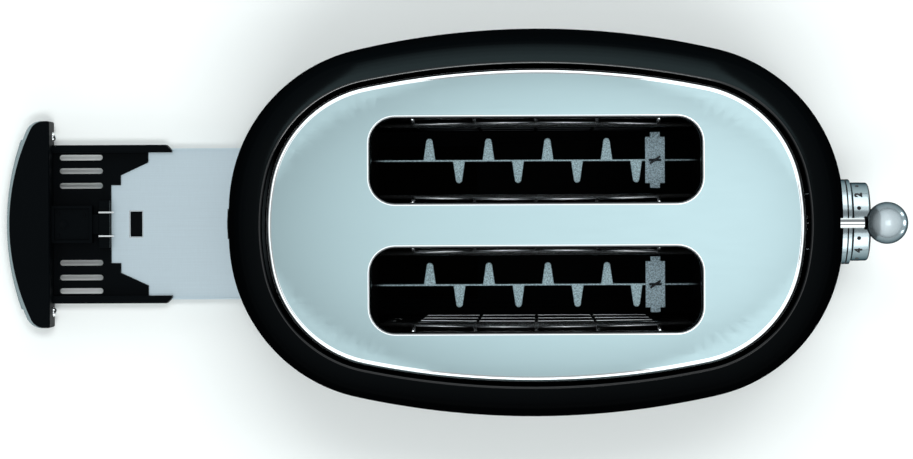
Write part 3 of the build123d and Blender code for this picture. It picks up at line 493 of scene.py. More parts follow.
def copyOf(node, flat=0.5):
    # a merged copy of a CAD node's mesh, with its flat faces made whole
    shape = bmesh.new()
    shape.from_mesh(frame["nodes"][node].data)
    bmesh.ops.remove_doubles(shape, verts=shape.verts, dist=2e-6)
    if flat:
        bmesh.ops.dissolve_limit(shape, angle_limit=math.radians(flat), verts=shape.verts,
                                 edges=shape.edges)
    return shape


def softened(node, width, segments=2, finishes=None, shape=None, sharp=30.0):
    # the CAD piece with its sharp edges rounded off
    piece = standFor(node, shape or copyOf(node), finishes, sharp)
    edge = piece.modifiers.new("softEdge", "BEVEL")
    edge.width = width
    edge.segments = segments
    edge.limit_method = "ANGLE"
    edge.angle_limit = math.radians(sharp)
    edge.harden_normals = True
    return piece


def lathe(profile, centre, around, shape=None):
    # spins (x, radius) points about a line along X through the centre
    shape = shape or bmesh.new()
    verts = [shape.verts.new((x, centre.y, centre.z + radius)) for x, radius in profile]
    edges = [shape.edges.new(pair) for pair in zip(verts, verts[1:])]
    bmesh.ops.spin(shape, geom=verts + edges, cent=centre, axis=(1.0, 0.0, 0.0), angle=math.tau,
                   steps=around, use_merge=True)
    bmesh.ops.remove_doubles(shape, verts=shape.verts, dist=1e-7)
    closeUp(shape)
    return shape


def roundRings(shape, centre, spots, width, segments):
    # bevels the rings of a lathed shape that run through the given (x, radius) spots
    def at(vert, spot):
        radius = math.hypot(vert.co.y - centre.y, vert.co.z - centre.z)
        return abs(vert.co.x - spot[0]) < 1e-6 and abs(radius - spot[1]) < 1e-6
    edges = [edge for edge in shape.edges
             if any(at(edge.verts[0], spot) and at(edge.verts[1], spot) for spot in spots)]
    bmesh.ops.bevel(shape, geom=edges, offset=width, segments=segments, profile=0.5,
                    affect="EDGES", material=-1)


def sliceAcross(shape, x, dist):
    # adds edges where an upright plane at x meets the shape
    bmesh.ops.bisect_plane(shape, geom=shape.verts[:] + shape.edges[:] + shape.faces[:], dist=dist,
                           plane_co=(x, 0.0, 0.0), plane_no=(1.0, 0.0, 0.0))


def paint(shape, number, wanted):
    # gives a finish number to the faces whose middle is wanted
    for face in shape.faces:
        if wanted(face.calc_center_median()):
            face.material_index = number


# Body outline: an oval of eight tangent arcs, walked by the direction of its normal
body = {
    "base": (0.1564, 0.0985, 0.403, 0.186, 0.083),  # half length, half width, side, end, corner radii
    "plate": (0.1200, 0.0699, 0.376, 0.097, 0.054),
    "lipGap": 0.0013,
    "shoulderReach": 0.0120,
    "shoulderRadius": 0.0125,
    "crestRadius": 0.0008,
    "lipDepth": 0.0050,
    "wall": 0.0020,
    "bulge": 0.03,
    "around": 360,
    "wallRings": 16,
    "shoulderRings": 14,
    "crestRings": 6,
    "insideRings": 8,
    "insideTurn": 84.0,  # degrees
    "beadSides": 24,
    "beadProud": 0.00002,
}
shellLow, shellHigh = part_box("body_shell")


def grown(oval, by):
    return tuple(size + by for size in oval)


def ovalCorner(oval):
    halfX, halfY, side, end, corner = oval
    run, rise = halfX - end, side - halfY
    span = math.hypot(run, rise)
    along = ((side - corner) ** 2 - (end - corner) ** 2 + span ** 2) / (2 * span)
    across = math.sqrt((side - corner) ** 2 - along ** 2)
    return ((along * run + across * rise) / span, halfY - side + (along * rise - across * run) / span)


def ovalPoint(oval, angle):
    halfX, halfY, side, end, corner = oval
    signX = 1.0 if math.cos(angle) >= 0 else -1.0
    signY = 1.0 if math.sin(angle) >= 0 else -1.0
    folded = math.atan2(abs(math.sin(angle)), abs(math.cos(angle)))
    x, y = ovalCorner(oval)
    if folded <= math.atan2(y, x - (halfX - end)):
        centre, radius = (halfX - end, 0.0), end
    elif folded >= math.pi / 2 - math.atan2(x, y - (halfY - side)):
        centre, radius = (0.0, halfY - side), side
    else:
        centre, radius = (x, y), corner
    return Vector((signX * (centre[0] + radius * math.cos(folded)),
                   signY * (centre[1] + radius * math.sin(folded)), 0.0))


def stations(oval, count):
    # points and outward normals round an oval
    found = []
    for number in range(count):
        angle = math.tau * number / count
        found.append((ovalPoint(oval, angle), Vector((math.cos(angle), math.sin(angle), 0.0))))
    return found


def atLevel(spots, offset, level):
    return [point + offset * normal + Vector((0.0, 0.0, level)) for point, normal in spots]


# Body shell: wall, shoulder, crest, turned-in lip and the inside, with its openings cut
def makeShell():
    top = grown(body["plate"], body["lipGap"] + body["shoulderReach"])
    low = stations(body["base"], body["around"])
    high = stations(top, body["around"])
    lip = stations(grown(body["plate"], body["lipGap"]), body["around"])
    bottom, crown = shellLow.z, shellHigh.z
    rise = crown - bottom
    turnLevel = crown - body["shoulderRadius"]
    leans = [math.atan((1 + 4 * body["bulge"]) * (first[0] - last[0]).dot(first[1]) / rise)
             for first, last in zip(low, high)]

    def wallRing(share, inset):
        places = []
        for (first, normal), (last, _), lean in zip(low, high, leans):
            level = bottom + share * (turnLevel + body["shoulderRadius"] * math.sin(lean) - bottom)
            part = (level - bottom) / rise
            part -= 4 * body["bulge"] * part * (1 - part)
            places.append(first.lerp(last, part) - inset * normal + Vector((0.0, 0.0, level)))
        return places

    def shoulderRing(share, inset, steepest=math.pi / 2):
        places = []
        for (point, normal), lean in zip(high, leans):
            climb = lean + share * (steepest - lean)
            radius = body["shoulderRadius"]
            back = radius * (1 - math.sin(lean)) / math.cos(lean)
            out = (radius - inset) * math.cos(climb) - back
            places.append(point + out * normal
                          + Vector((0.0, 0.0, turnLevel + (radius - inset) * math.sin(climb))))
        return places

    shape = bmesh.new()
    first = edges = startRing(shape, wallRing(0.0, 0.0))
    for number in range(1, body["wallRings"] + 1):
        edges = pushRing(shape, edges, wallRing(number / body["wallRings"], 0.0))
    for number in range(1, body["shoulderRings"] + 1):
        edges = pushRing(shape, edges, shoulderRing(number / body["shoulderRings"], 0.0))
    crest = body["crestRadius"]
    for number in range(body["crestRings"] + 1):
        turn = math.pi / 2 * (1 + number / body["crestRings"])
        places = atLevel(lip, crest * (1 + math.cos(turn)), crown - crest * (1 - math.sin(turn)))
        edges = pushRing(shape, edges, places, 1)
    edges = pushRing(shape, edges, atLevel(lip, 0.0, crown - body["lipDepth"]), 1)
    edges = pushRing(shape, edges, atLevel(lip, body["wall"], crown - body["lipDepth"]))
    steps = body["insideRings"]
    for number in range(steps, -1, -1):
        edges = pushRing(shape, edges, shoulderRing(number / steps, body["wall"],
                                                    math.radians(body["insideTurn"])))
    for number in range(steps - 1, -1, -1):
        edges = pushRing(shape, edges, wallRing(number / steps, body["wall"]))
    bmesh.ops.bridge_loops(shape, edges=first + edges)
    closeUp(shape)
    return shape


def tubeCutter(shape, outline, near, far):
    # a closed prism along X through an outline of (y, z) points
    verts = [shape.verts.new((near, y, z)) for y, z in outline]
    face = shape.faces.new(verts)
    moved = bmesh.ops.extrude_face_region(shape, geom=[face])["geom"]
    bmesh.ops.translate(shape, vec=(far - near, 0.0, 0.0), verts=only(bmesh.types.BMVert, moved))


def roundOutline(y, z, radius, stretch=0.0, count=32):
    # a circle, or an upright slot when its halves are pulled apart
    points = []
    for number in range(count):
        turn = math.tau * (number + 0.5) / count
        pull = stretch / 2 if math.sin(turn) > 0 else -stretch / 2
        points.append((y + radius * math.cos(turn), z + radius * math.sin(turn) + pull))
    return points


openings = {
    "travel": 0.062,
    "leverPlay": 0.00125,
    "slotSides": 48,
    "buttonRadius": 0.0043,
    "buttonPlay": 0.00035,
    "dialHole": 0.0034,
    "glandHole": 0.00605,
    "notchPlay": 0.0005,
    "notchEnd": -0.1333,
    "inside": 0.100,
    "outside": 0.200,
}


def makeCutters():
    # the lever's slot, the holes of the dial, the buttons and the gland, and the tray's notch
    near, far = openings["inside"], openings["outside"]
    stemLow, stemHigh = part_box("lever_stem")
    outlines = [roundOutline(0.0, middleOf("lever_stem").z - openings["travel"] / 2,
                             (stemHigh - stemLow).z / 2 + openings["leverPlay"], openings["travel"],
                             openings["slotSides"]),
                roundOutline(0.0, middleOf("browning_dial").z, openings["dialHole"])]
    for name in ("defrost_button", "cancel_button", "reheat_button"):
        middle = middleOf(name)
        outlines.append(roundOutline(middle.y, middle.z, openings["buttonRadius"] + openings["buttonPlay"]))
    shape = bmesh.new()
    for outline in outlines:
        tubeCutter(shape, outline, near, far)
    tubeCutter(shape, roundOutline(0.0, middleOf("cord_gland").z, openings["glandHole"]), -near, -far)
    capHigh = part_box("tray_cap")[1]
    half = capHigh.y + openings["notchPlay"]
    roof = capHigh.z + openings["notchPlay"]
    tubeCutter(shape, [(-half, 0.0), (half, 0.0), (half, roof), (-half, roof)], openings["notchEnd"], -far)
    closeUp(shape)
    return shape


def cutAway(piece, cutterShape):
    # the mesh that is left of a piece, which is used up like the cutter
    cutter = placed("cutter", meshOf("cutter", cutterShape))
    cut = piece.modifiers.new("openings", "BOOLEAN")
    cut.operation = "DIFFERENCE"
    cut.solver = "EXACT"
    cut.object = cutter
    view = bpy.context.evaluated_depsgraph_get()
    made = bpy.data.meshes.new_from_object(piece.evaluated_get(view))
    made.name = piece.name
    bpy.data.objects.remove(cutter)
    bpy.data.objects.remove(piece)
    return made


def ringOf(spots, profile):
    # a closed band whose (offset, level) section follows an outline
    shape = bmesh.new()
    first = edges = startRing(shape, atLevel(spots, *profile[0]))
    for offset, level in profile[1:]:
        edges = pushRing(shape, edges, atLevel(spots, offset, level))
    bmesh.ops.bridge_loops(shape, edges=first + edges)
    return shape


cutShell = cutAway(placed("bodyShell", meshOf("bodyShell", makeShell())), makeCutters())
bodyShell = dress("bodyShell", cutShell, [glossBlack, lipBlack], "housing", ["body_shell"])
print("body shell:", len(cutShell.polygons), "faces")


def makeCrestBead():
    # the polished edge round the shell's mouth
    crest = body["crestRadius"]
    reach = crest + body["beadProud"]
    section = []
    for number in range(body["beadSides"]):
        turn = math.tau * number / body["beadSides"]
        section.append((crest + reach * math.cos(turn), shellHigh.z - crest + reach * math.sin(turn)))
    shape = ringOf(stations(grown(body["plate"], body["lipGap"]), body["around"]), section)
    closeUp(shape)
    return shape


crestBead = detail("crestBead", makeCrestBead(), lipBlack, "housing", "gloss_black")


# Top plate: one gently crowned sheet with a rolled edge and two turned-down bread slots
plate = {
    "sheet": 0.0010,
    "roll": 0.0026,
    "slotRoll": 0.0010,
    "slotInward": 0.0008,
    "slotLine": (0, 2),  # the rings of a slot's roll that shine; the rest of the roll and its skirt are painted dark as shade
    "rollRings": 8,
    "support": 0.0004,
    "flat": 0.0030,
    "skirt": 0.0070,
    "slotLength": 0.1476,
    "slotWidth": 0.0386,
    "slotCorner": 0.0115,
    "slotSkirt": 0.0090,
    "cornerSteps": 9,
    "sideSteps": 30,
    "endSteps": 5,
    "crown": 0.0007,
    "crownDrop": 0.0018,
    "wellY": 0.02865,
    "cell": 0.0045,
    "cellShift": 0.37,
    "edgeAngles": (4, 89, 7),  # degrees: from, to, step
    "edgeProud": 0.00002,
    "edgeSheet": 0.0004,
}
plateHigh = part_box("top_plate")[1]


def crownAt(point):
    # height of the crowned sheet above its rolled edge
    reach = math.sqrt((point.x / plateHigh.x) ** 2 + (point.y / plateHigh.y) ** 2)
    return plate["crown"] - plate["crownDrop"] * min(reach, 1.0) ** 4


def slotStations(centreY, grownBy):
    # a rounded rectangle walked anticlockwise from the middle of its +X end
    halfX = plate["slotLength"] / 2
    halfY = plate["slotWidth"] / 2
    corner = plate["slotCorner"]
    walk = []
    for quarter in range(4):
        signX = 1 if quarter in (0, 3) else -1
        signY = 1 if quarter in (0, 1) else -1
        centre = Vector((signX * (halfX - corner), centreY + signY * (halfY - corner), 0.0))
        start = quarter * math.pi / 2
        for step in range(plate["cornerSteps"] + 1):
            turn = start + step / plate["cornerSteps"] * math.pi / 2
            normal = Vector((math.cos(turn), math.sin(turn), 0.0))
            walk.append((centre + corner * normal, normal))
        straight = 2 * (halfX - corner) if quarter % 2 == 0 else 2 * (halfY - corner)
        steps = plate["sideSteps"] if quarter % 2 == 0 else plate["endSteps"]
        along = Vector((-normal.y, normal.x, 0.0))
        for step in range(1, steps):
            walk.append((walk[-1][0] + along * straight / steps, normal))
    return [(point + grownBy * normal, normal) for point, normal in walk]


def rollDown(shape, edges, spots, inward, depth, top, roll):
    # from the flat sheet over a quarter roll and down the skirt; inward is -1 on a slot
    for number in range(plate["rollRings"] + 1):
        turn = math.pi / 2 * number / plate["rollRings"]
        offset = inward * roll * (math.sin(turn) - 1)
        level = top - roll * (1 - math.cos(turn))
        # painted shade: a slot's roll and skirt get the dark metal, except for the rings that shine
        bright = inward > 0 or number in plate["slotLine"]
        edges = pushRing(shape, edges, atLevel(spots, offset, level), 1 if bright else 2)
    return pushRing(shape, edges, atLevel(spots, 0.0, top - depth), 1 if inward > 0 else 2)


def makePlate():
    top = plateHigh.z
    rim = stations(body["plate"], body["around"])
    slots = [slotStations(side * plate["wellY"], -plate["slotInward"]) for side in (1, -1)]
    margin = plate["roll"] + plate["support"]
    slotMargin = plate["slotRoll"] + plate["support"]
    shape = bmesh.new()
    core = [startRing(shape, atLevel(rim, -margin - plate["flat"], top))]
    for spots in slots:
        core.append(startRing(shape, atLevel(spots, slotMargin + plate["flat"] / 2, top)))
    filled = bmesh.ops.triangle_fill(shape, edges=[edge for ring in core for edge in ring],
                                     use_beauty=True, normal=(0.0, 0.0, 1.0))["geom"]
    faces = only(bmesh.types.BMFace, filled)
    outer = pushRing(shape, core[0], atLevel(rim, -margin, top))
    rollDown(shape, outer, rim, 1, plate["skirt"], top, plate["roll"])
    for edges, spots in zip(core[1:], slots):
        inner = pushRing(shape, edges, atLevel(spots, slotMargin, top))
        rollDown(shape, inner, spots, -1, plate["slotSkirt"], top, plate["slotRoll"])
    for axis, half in ((0, plateHigh.x), (1, plateHigh.y)):
        normal = Vector((1.0 - axis, float(axis), 0.0))
        for number in range(-int(half / plate["cell"]), int(half / plate["cell"]) + 1):
            parts = [item for face in faces if face.is_valid for item in (face, *face.edges, *face.verts)]
            cut = bmesh.ops.bisect_plane(shape, geom=list(set(parts)), dist=1e-7, plane_no=normal,
                                         plane_co=normal * (number + plate["cellShift"]) * plate["cell"])
            faces = only(bmesh.types.BMFace, cut["geom"])
    for vert in shape.verts:
        vert.co.z += crownAt(vert.co)
    closeUp(shape)
    if sum(face.normal.z for face in shape.faces) < 0:
        bmesh.ops.reverse_faces(shape, faces=shape.faces)
    bmesh.ops.solidify(shape, geom=list(shape.faces), thickness=plate["sheet"])
    return shape


topPlate = standFor("top_plate", makePlate(), [satinPlate, polishedEdge, slotShadeEdge], 50.0)
print("top plate:", len(topPlate.data.polygons), "faces")


def makePlateEdge():
    # the bright polished roll, a hair proud of the sheet
    roll = plate["roll"]
    turns = [math.radians(angle) for angle in range(*plate["edgeAngles"])]
    section = []
    for reach, order in ((roll + plate["edgeProud"], 1), (roll - plate["edgeSheet"], -1)):
        for turn in turns[::order]:
            section.append((reach * math.sin(turn) - roll, plateHigh.z - roll + reach * math.cos(turn)))
    shape = ringOf(stations(body["plate"], body["around"]), section)
    for vert in shape.verts:
        vert.co.z += crownAt(vert.co)
    closeUp(shape)
    return shape


plateEdge = detail("plateEdge", makePlateEdge(), polishedEdge, "housing", "satin_plate", 50.0)


# Browning dial: turned drum on a skirt painted black as the shade in its gap to the bezel, with printed
# numbers round it
dial = {
    "skirtRadius": 0.0186,
    "skirtLength": 0.0004,
    "bezelBand": (0.1504, 0.1511),
    "rim": 0.0007,
    "round": 0.0013,
    "around": 128,
    "dishRadius": 0.0140,
    "dishDepth": 0.0010,
    "numberX": 0.1562,
    "digit": 0.0039,
    "letterShare": 1.4,  # of a letter's full size to the height of a digit
    "widen": 1.12,
    "bold": 0.00032,
    "ink": 0.00005,
    "dot": 0.00098,
    "dotSides": 32,
    "pitch": 45.0,  # degrees
    "turnedBy": -2.0,  # degrees
    "topNumber": 3,
    "numbers": 7,
    "strip": 0.0005,
}
dialLow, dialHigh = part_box("browning_dial")
dialRadius = (dialHigh - dialLow).z / 2
dialAxis = Vector((0.0, 0.0, (dialLow + dialHigh).z / 2))


def makeDial():
    front = dialHigh.x
    step = dialLow.x + dial["skirtLength"]
    corner = (front, dialRadius)
    dish = dial["dishRadius"]
    profile = [(dialLow.x, 0.0), (dialLow.x, dial["skirtRadius"]),
               (step, dial["skirtRadius"]), (step, dialRadius), corner, (front, dish),
               (front - dial["dishDepth"], dish - dial["dishDepth"] / 2), (front - dial["dishDepth"], 0.0)]
    shape = lathe(profile, dialAxis, dial["around"])
    roundRings(shape, dialAxis, [corner], dial["round"], 6)
    roundRings(shape, dialAxis, [(step, dialRadius)], dial["round"] / 6, 3)
    roundRings(shape, dialAxis, [(front, dish)], dial["round"] / 5, 2)
    # painted shade: the skirt behind the drum is black, standing for the shadow in its gap to the bezel
    paint(shape, 1, lambda middle: middle.x < step + 1e-5
          and math.hypot(middle.y, middle.z - dialAxis.z) < dialRadius - 1e-4)
    paint(shape, 1, lambda middle: middle.x > front - dial["rim"]
          and math.hypot(middle.y, middle.z - dialAxis.z) > dish)
    return shape


browningDial = standFor("browning_dial", makeDial(), [satinSilver, blackPlastic])


def wrapOnDrum(shape, turn):
    # bends a flat mark, read with its top towards -X, onto the drum at an angle from the top
    for vert in shape.verts:
        along = turn + vert.co.x / dialRadius
        reach = dialRadius + vert.co.z
        vert.co = Vector((dial["numberX"] - vert.co.y, reach * math.sin(along),
                          dialAxis.z + reach * math.cos(along)))


def makeDigit(number):
    letter = bpy.data.curves.new("digit", "FONT")
    letter.body = str(number)
    letter.extrude = dial["ink"]
    letter.offset = dial["bold"]
    letter.size = dial["digit"] * dial["letterShare"]
    holder = placed("digit", letter)
    view = bpy.context.evaluated_depsgraph_get()
    mesh = bpy.data.meshes.new_from_object(holder.evaluated_get(view))
    bpy.data.objects.remove(holder)
    shape = bmesh.new()
    shape.from_mesh(mesh)
    bpy.data.meshes.remove(mesh)
    bmesh.ops.remove_doubles(shape, verts=shape.verts, dist=1e-8)
    low = Vector([min(vert.co[axis] for vert in shape.verts) for axis in range(3)])
    high = Vector([max(vert.co[axis] for vert in shape.verts) for axis in range(3)])
    size = dial["digit"] / (high.y - low.y)
    bmesh.ops.translate(shape, verts=shape.verts, vec=-(low + high) / 2)
    bmesh.ops.scale(shape, verts=shape.verts, vec=(size * dial["widen"], size, 1.0))
    reach = int((high.x - low.x) * size * dial["widen"] / 2 / dial["strip"]) + 1
    for strip in range(-reach, reach + 1):
        sliceAcross(shape, strip * dial["strip"], 1e-8)
    return shape


def makeDot():
    shape = bmesh.new()
    bmesh.ops.create_cone(shape, cap_ends=True, cap_tris=True, segments=dial["dotSides"],
                          radius1=dial["dot"], radius2=dial["dot"], depth=2 * dial["ink"])
    bmesh.ops.subdivide_edges(shape, edges=shape.edges, cuts=1, use_grid_fill=True)
    return shape


def makeNumbers():
    whole = bmesh.new()
    for number in range(1, dial["numbers"] + 1):
        marks = [(makeDigit(number), 0.0)]
        if number < dial["numbers"]:
            marks.append((makeDot(), -dial["pitch"] / 2))
        for mark, aside in marks:
            turn = (dial["topNumber"] - number) * dial["pitch"] + aside + dial["turnedBy"]
            wrapOnDrum(mark, math.radians(turn))
            part = meshOf("mark", mark)
            whole.from_mesh(part)
            bpy.data.meshes.remove(part)
    closeUp(whole)
    return whole


dialNumbers = detail("dialNumbers", makeNumbers(), dialInk, "dial", "black_plastic", 30.0)


def makeBezel():
    shape = copyOf("dial_bezel", 0.0)
    # painted shade: a thin black band round the bezel stands for the shadow gap between bezel and drum
    for x in dial["bezelBand"]:
        sliceAcross(shape, x, 1e-7)
    paint(shape, 1, lambda middle: dial["bezelBand"][0] < middle.x < dial["bezelBand"][1])
    return shape


dialBezel = standFor("dial_bezel", makeBezel(), [satinSilver, blackPlastic], 30.0)
print("dial ready:", len(dialNumbers.data.polygons), "faces of print")


# Lever: chrome stem, ribbed neck and satin ball
lever = {
    "neck": 0.0034,
    "neckDepth": 0.0012,
    "around": 96,
    "arc": 64,
    "stemAround": 64,
    "stemRound": 0.0004,
    "collarRib": 0.00035,
    "collarRibs": 4,
}
ballLow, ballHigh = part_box("lever_ball")
ballMiddle = (ballLow + ballHigh) / 2
ballRadius = (ballHigh - ballLow).y / 2
ballMiddle.x = ballHigh.x - ballRadius


def makeBall():
    # an arc from the far pole to the neck, spun round the stem's line
    shape = bmesh.new()
    pole = shape.verts.new((ballMiddle.x + ballRadius, ballMiddle.y, ballMiddle.z))
    sweep = math.pi - math.asin(lever["neck"] / ballRadius)
    bmesh.ops.spin(shape, geom=[pole], cent=ballMiddle, axis=(0.0, -1.0, 0.0), angle=sweep,
                   steps=lever["arc"])
    last = min(shape.verts, key=lambda vert: vert.co.x)
    inside = shape.verts.new(last.co + Vector((lever["neckDepth"], 0.0, -lever["neckDepth"] / 2)))
    shut = shape.verts.new((inside.co.x, ballMiddle.y, ballMiddle.z))
    shape.edges.new((last, inside))
    shape.edges.new((inside, shut))
    bmesh.ops.spin(shape, geom=shape.verts[:] + shape.edges[:], cent=ballMiddle, axis=(1.0, 0.0, 0.0),
                   angle=math.tau, steps=lever["around"], use_merge=True)
    bmesh.ops.remove_doubles(shape, verts=shape.verts, dist=1e-7)
    closeUp(shape)
    return shape


leverBall = standFor("lever_ball", makeBall())
stemLow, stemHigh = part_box("lever_stem")
stemRadius = (stemHigh - stemLow).z / 2
stemAxis = Vector((0.0, 0.0, (stemLow + stemHigh).z / 2))
stemShape = lathe([(stemLow.x, 0.0), (stemLow.x, stemRadius), (stemHigh.x, stemRadius), (stemHigh.x, 0.0)],
                  stemAxis, lever["stemAround"])
roundRings(stemShape, stemAxis, [(stemLow.x, stemRadius)], lever["stemRound"], 3)
leverStem = standFor("lever_stem", stemShape)
collarLow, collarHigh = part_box("lever_collar")
collarRadius = (collarHigh - collarLow).z / 2
collarValley = collarRadius - lever["collarRib"]
ribLength = (collarHigh.x - collarLow.x) / lever["collarRibs"]
collarSteps = []
for number in range(lever["collarRibs"]):
    start = collarLow.x + number * ribLength
    collarSteps += [(start, collarValley), (start + ribLength / 2, collarRadius)]
collarShape = lathe([(collarLow.x, 0.0), *collarSteps, (collarHigh.x, collarValley), (collarHigh.x, 0.0)],
                    stemAxis, lever["stemAround"])
standFor("lever_collar", collarShape, sharp=20.0)
print("lever ready")


# Tray: cap with its bright band and strip, studs, frame, plate and latch
tray = {
    "capEdge": 0.0010,
    "bandEdge": 0.0003,
    "pullEdge": 0.0005,
    "frameEdge": 0.00025,
    "boxEdge": 0.0003,
    "studFlange": 0.0006,
    "studRings": 8,
    "studAround": 48,
    "studDome": 0.92,  # of the flange's radius
    "lidRing": 0.0021,
    "lidRingPlace": 0.28,  # share of the lid's length
    "lidScrewPlaces": ((0.12, 0.16), (0.12, 0.84), (0.86, 0.80)),
    "lidRingWall": 0.0006,
    "lidScrew": 0.0007,
    "lidRaise": 0.0003,
    "lidSides": 32,
}
softened("tray_cap", tray["capEdge"], 4)
trayTrim = softened("tray_trim", tray["bandEdge"], 2, [trimSilver])
trayPull = softened("tray_pull", tray["pullEdge"], 3, [trimSilver])
softened("tray_frame", tray["frameEdge"])
softened("latch_housing", tray["boxEdge"], 3)
softened("latch_lid", tray["frameEdge"])
softened("tray_latch", tray["boxEdge"], 3)
standFor("crumb_plate", copyOf("crumb_plate")).data.shade_flat()


def makeStuds():
    low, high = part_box("tray_studs")
    radius = (high - low).z / 2
    reach = (high - low).x - tray["studFlange"]
    shape = bmesh.new()
    for side in (-1, 1):
        centre = Vector((low.x, side * (high.y - radius), (low + high).z / 2))
        profile = [(low.x, 0.0), (low.x, radius), (low.x + tray["studFlange"], radius)]
        for number in range(tray["studRings"]):
            turn = math.pi / 2 * number / tray["studRings"]
            profile.append((low.x + tray["studFlange"] + reach * math.sin(turn),
                            tray["studDome"] * radius * math.cos(turn)))
        profile.append((high.x, 0.0))
        lathe(profile, centre, tray["studAround"], shape)
    return shape


trayStuds = standFor("tray_studs", makeStuds(), sharp=35.0)


def makeLidMarks():
    # a raised ring and three screw heads on the latch's lid
    low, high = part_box("latch_lid")
    shape = bmesh.new()
    marks = [(tray["lidRingPlace"], 0.5, tray["lidRing"])]
    marks += [(along, across, tray["lidScrew"]) for along, across in tray["lidScrewPlaces"]]
    for along, across, radius in marks:
        spot = (low.x + along * (high.x - low.x), low.y + across * (high.y - low.y), high.z)
        made = bmesh.ops.create_cone(shape, cap_ends=True, segments=tray["lidSides"], radius1=radius,
                                     radius2=radius, depth=2 * tray["lidRaise"],
                                     matrix=Matrix.Translation(spot))["verts"]
        top = [face for face in {face for vert in made for face in vert.link_faces}
               if face.normal.z > 0.9 and len(face.verts) > 4]
        wall = tray["lidRingWall"] if radius == tray["lidRing"] else tray["lidScrew"] / 3
        bmesh.ops.inset_individual(shape, faces=top, thickness=wall, depth=0.0)
        bmesh.ops.translate(shape, vec=(0.0, 0.0, -tray["lidRaise"] / 2),
                            verts=list({vert for face in top for vert in face.verts}))
    return shape


detail("lidMarks", makeLidMarks(), blackPlastic, "crumb_tray", "black_plastic", 30.0)


def makeHoleRim():
    # the burnished edge round the plate's rectangular hole
    low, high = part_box("plate_clip")
    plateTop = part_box("crumb_plate")[0].z + crumb["sheet"]
    margin = Vector((crumb["clipMargin"], crumb["clipMargin"], 0.0))
    hole = high - low - 2 * margin
    centre = (low + high) / 2
    wide = crumb["rimWidth"]
    shape = bmesh.new()
    grid = bmesh.ops.create_grid(shape, x_segments=1, y_segments=1, size=0.5)["verts"]
    bmesh.ops.scale(shape, verts=grid, vec=(hole.x + 2 * wide, hole.y + 2 * wide, 1.0))
    bmesh.ops.translate(shape, verts=grid, vec=(centre.x, centre.y, plateTop))
    face = shape.faces[:][0]
    bmesh.ops.inset_individual(shape, faces=[face], thickness=wide, depth=0.0)
    bmesh.ops.delete(shape, geom=[face], context="FACES_ONLY")
    bmesh.ops.solidify(shape, geom=shape.faces[:], thickness=crumb["rimHeight"])
    bmesh.ops.translate(shape, verts=shape.verts, vec=(0.0, 0.0, crumb["rimHeight"] / 2))
    closeUp(shape)
    return shape


detail("holeRim", makeHoleRim(), polishedEdge, "crumb_tray", "brushed_tray", 30.0)
print("tray ready")


# Racks with their locking lugs, cross plates and wire guards
for side in ("left", "right"):
    node = f"bread_rack_{side}"
    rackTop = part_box(f"rack_cross_plate_{side}")[0].z
    shape = copyOf(node)
    # painted shade: the lugs above the cross plate get the near-black steel, for the shade round them
    paint(shape, 1, lambda middle: middle.z > rackTop + rack["lugFrom"])
    softened(node, rack["edge"], 2, [rackSteel, lugShadeSteel], shape)
    softened(f"rack_cross_plate_{side}", rack["edge"], 2, [crossSteel])
    for place, lean in (("outer", 1), ("inner", -1)):
        node = f"bread_guard_{side}_{place}"
        low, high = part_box(node)
        out = lean if side == "right" else -lean
        shape = copyOf(node, 0.0)
        for vert in shape.verts:
            climb = (vert.co.z - low.z) / (high.z - low.z)
            along = 2 * vert.co.x / (high.x - low.x)
            vert.co.y += out * rack["bow"] * climb * max(0.0, 1 - along * along)
        # painted shade: on the right rack the guards turn near black below their lit top, for the shade deep
        # in the well
        if side == "right":
            paint(shape, 1, lambda middle: middle.z < high.z - rack["litReach"])
        standFor(node, shape, [guardWire, wellShadeWire])
print("racks and guards ready")


# Smaller pieces keep their shape and lose their sharp edges
softEdges = {
    "base_pan": 0.0004, "defrost_button": 0.0002, "cancel_button": 0.0002, "reheat_button": 0.0002,
    "terminal_block": 0.0006, "mains_switch": 0.0003, "dial_encoder": 0.0002, "key_switches": 0.0003,
    "carriage": 0.0002, "magnet_core": 0.0003, "armature": 0.0003, "plate_clip": 0.0001,
    "front_end_plate": 0.0002, "rear_end_plate": 0.0002,
}
for node, width in softEdges.items():
    softened(node, width)
print("small pieces ready")


# Floor and light
floor = {
    "half": 4.0,
    "around": 64,
    "seen": (0.90, 0.93, 0.92),
    "unseen": (0.55, 0.56, 0.56),
}
floorShape = bmesh.new()
bmesh.ops.create_circle(floorShape, cap_ends=True, segments=floor["around"], radius=floor["half"])
floorPiece = placed("floor", meshOf("floor", floorShape))


def makeFloorFinish():
    # near white to the camera and in reflections, and duller where it throws light on the toaster
    paper = bpy.data.materials.new("paperFloor")
    paper.use_nodes = True
    tree = paper.node_tree
    tree.nodes.clear()
    path = tree.nodes.new("ShaderNodeLightPath")
    seen = Wire(tree, path.outputs["Is Camera Ray"])
    seen = seen + Wire(tree, path.outputs["Is Glossy Ray"]) + Wire(tree, path.outputs["Is Transmission Ray"])
    choice = tree.nodes.new("ShaderNodeMixShader")
    plug(tree, choice.inputs[0], seen)
    for place, tone in ((choice.inputs[1], "unseen"), (choice.inputs[2], "seen")):
        matt = tree.nodes.new("ShaderNodeBsdfDiffuse")
        matt.inputs["Color"].default_value = rgb(*floor[tone])
        tree.links.new(matt.outputs[0], place)
    out = tree.nodes.new("ShaderNodeOutputMaterial")
    tree.links.new(choice.outputs[0], out.inputs["Surface"])
    return paper


floorPiece.data.materials.append(makeFloorFinish())


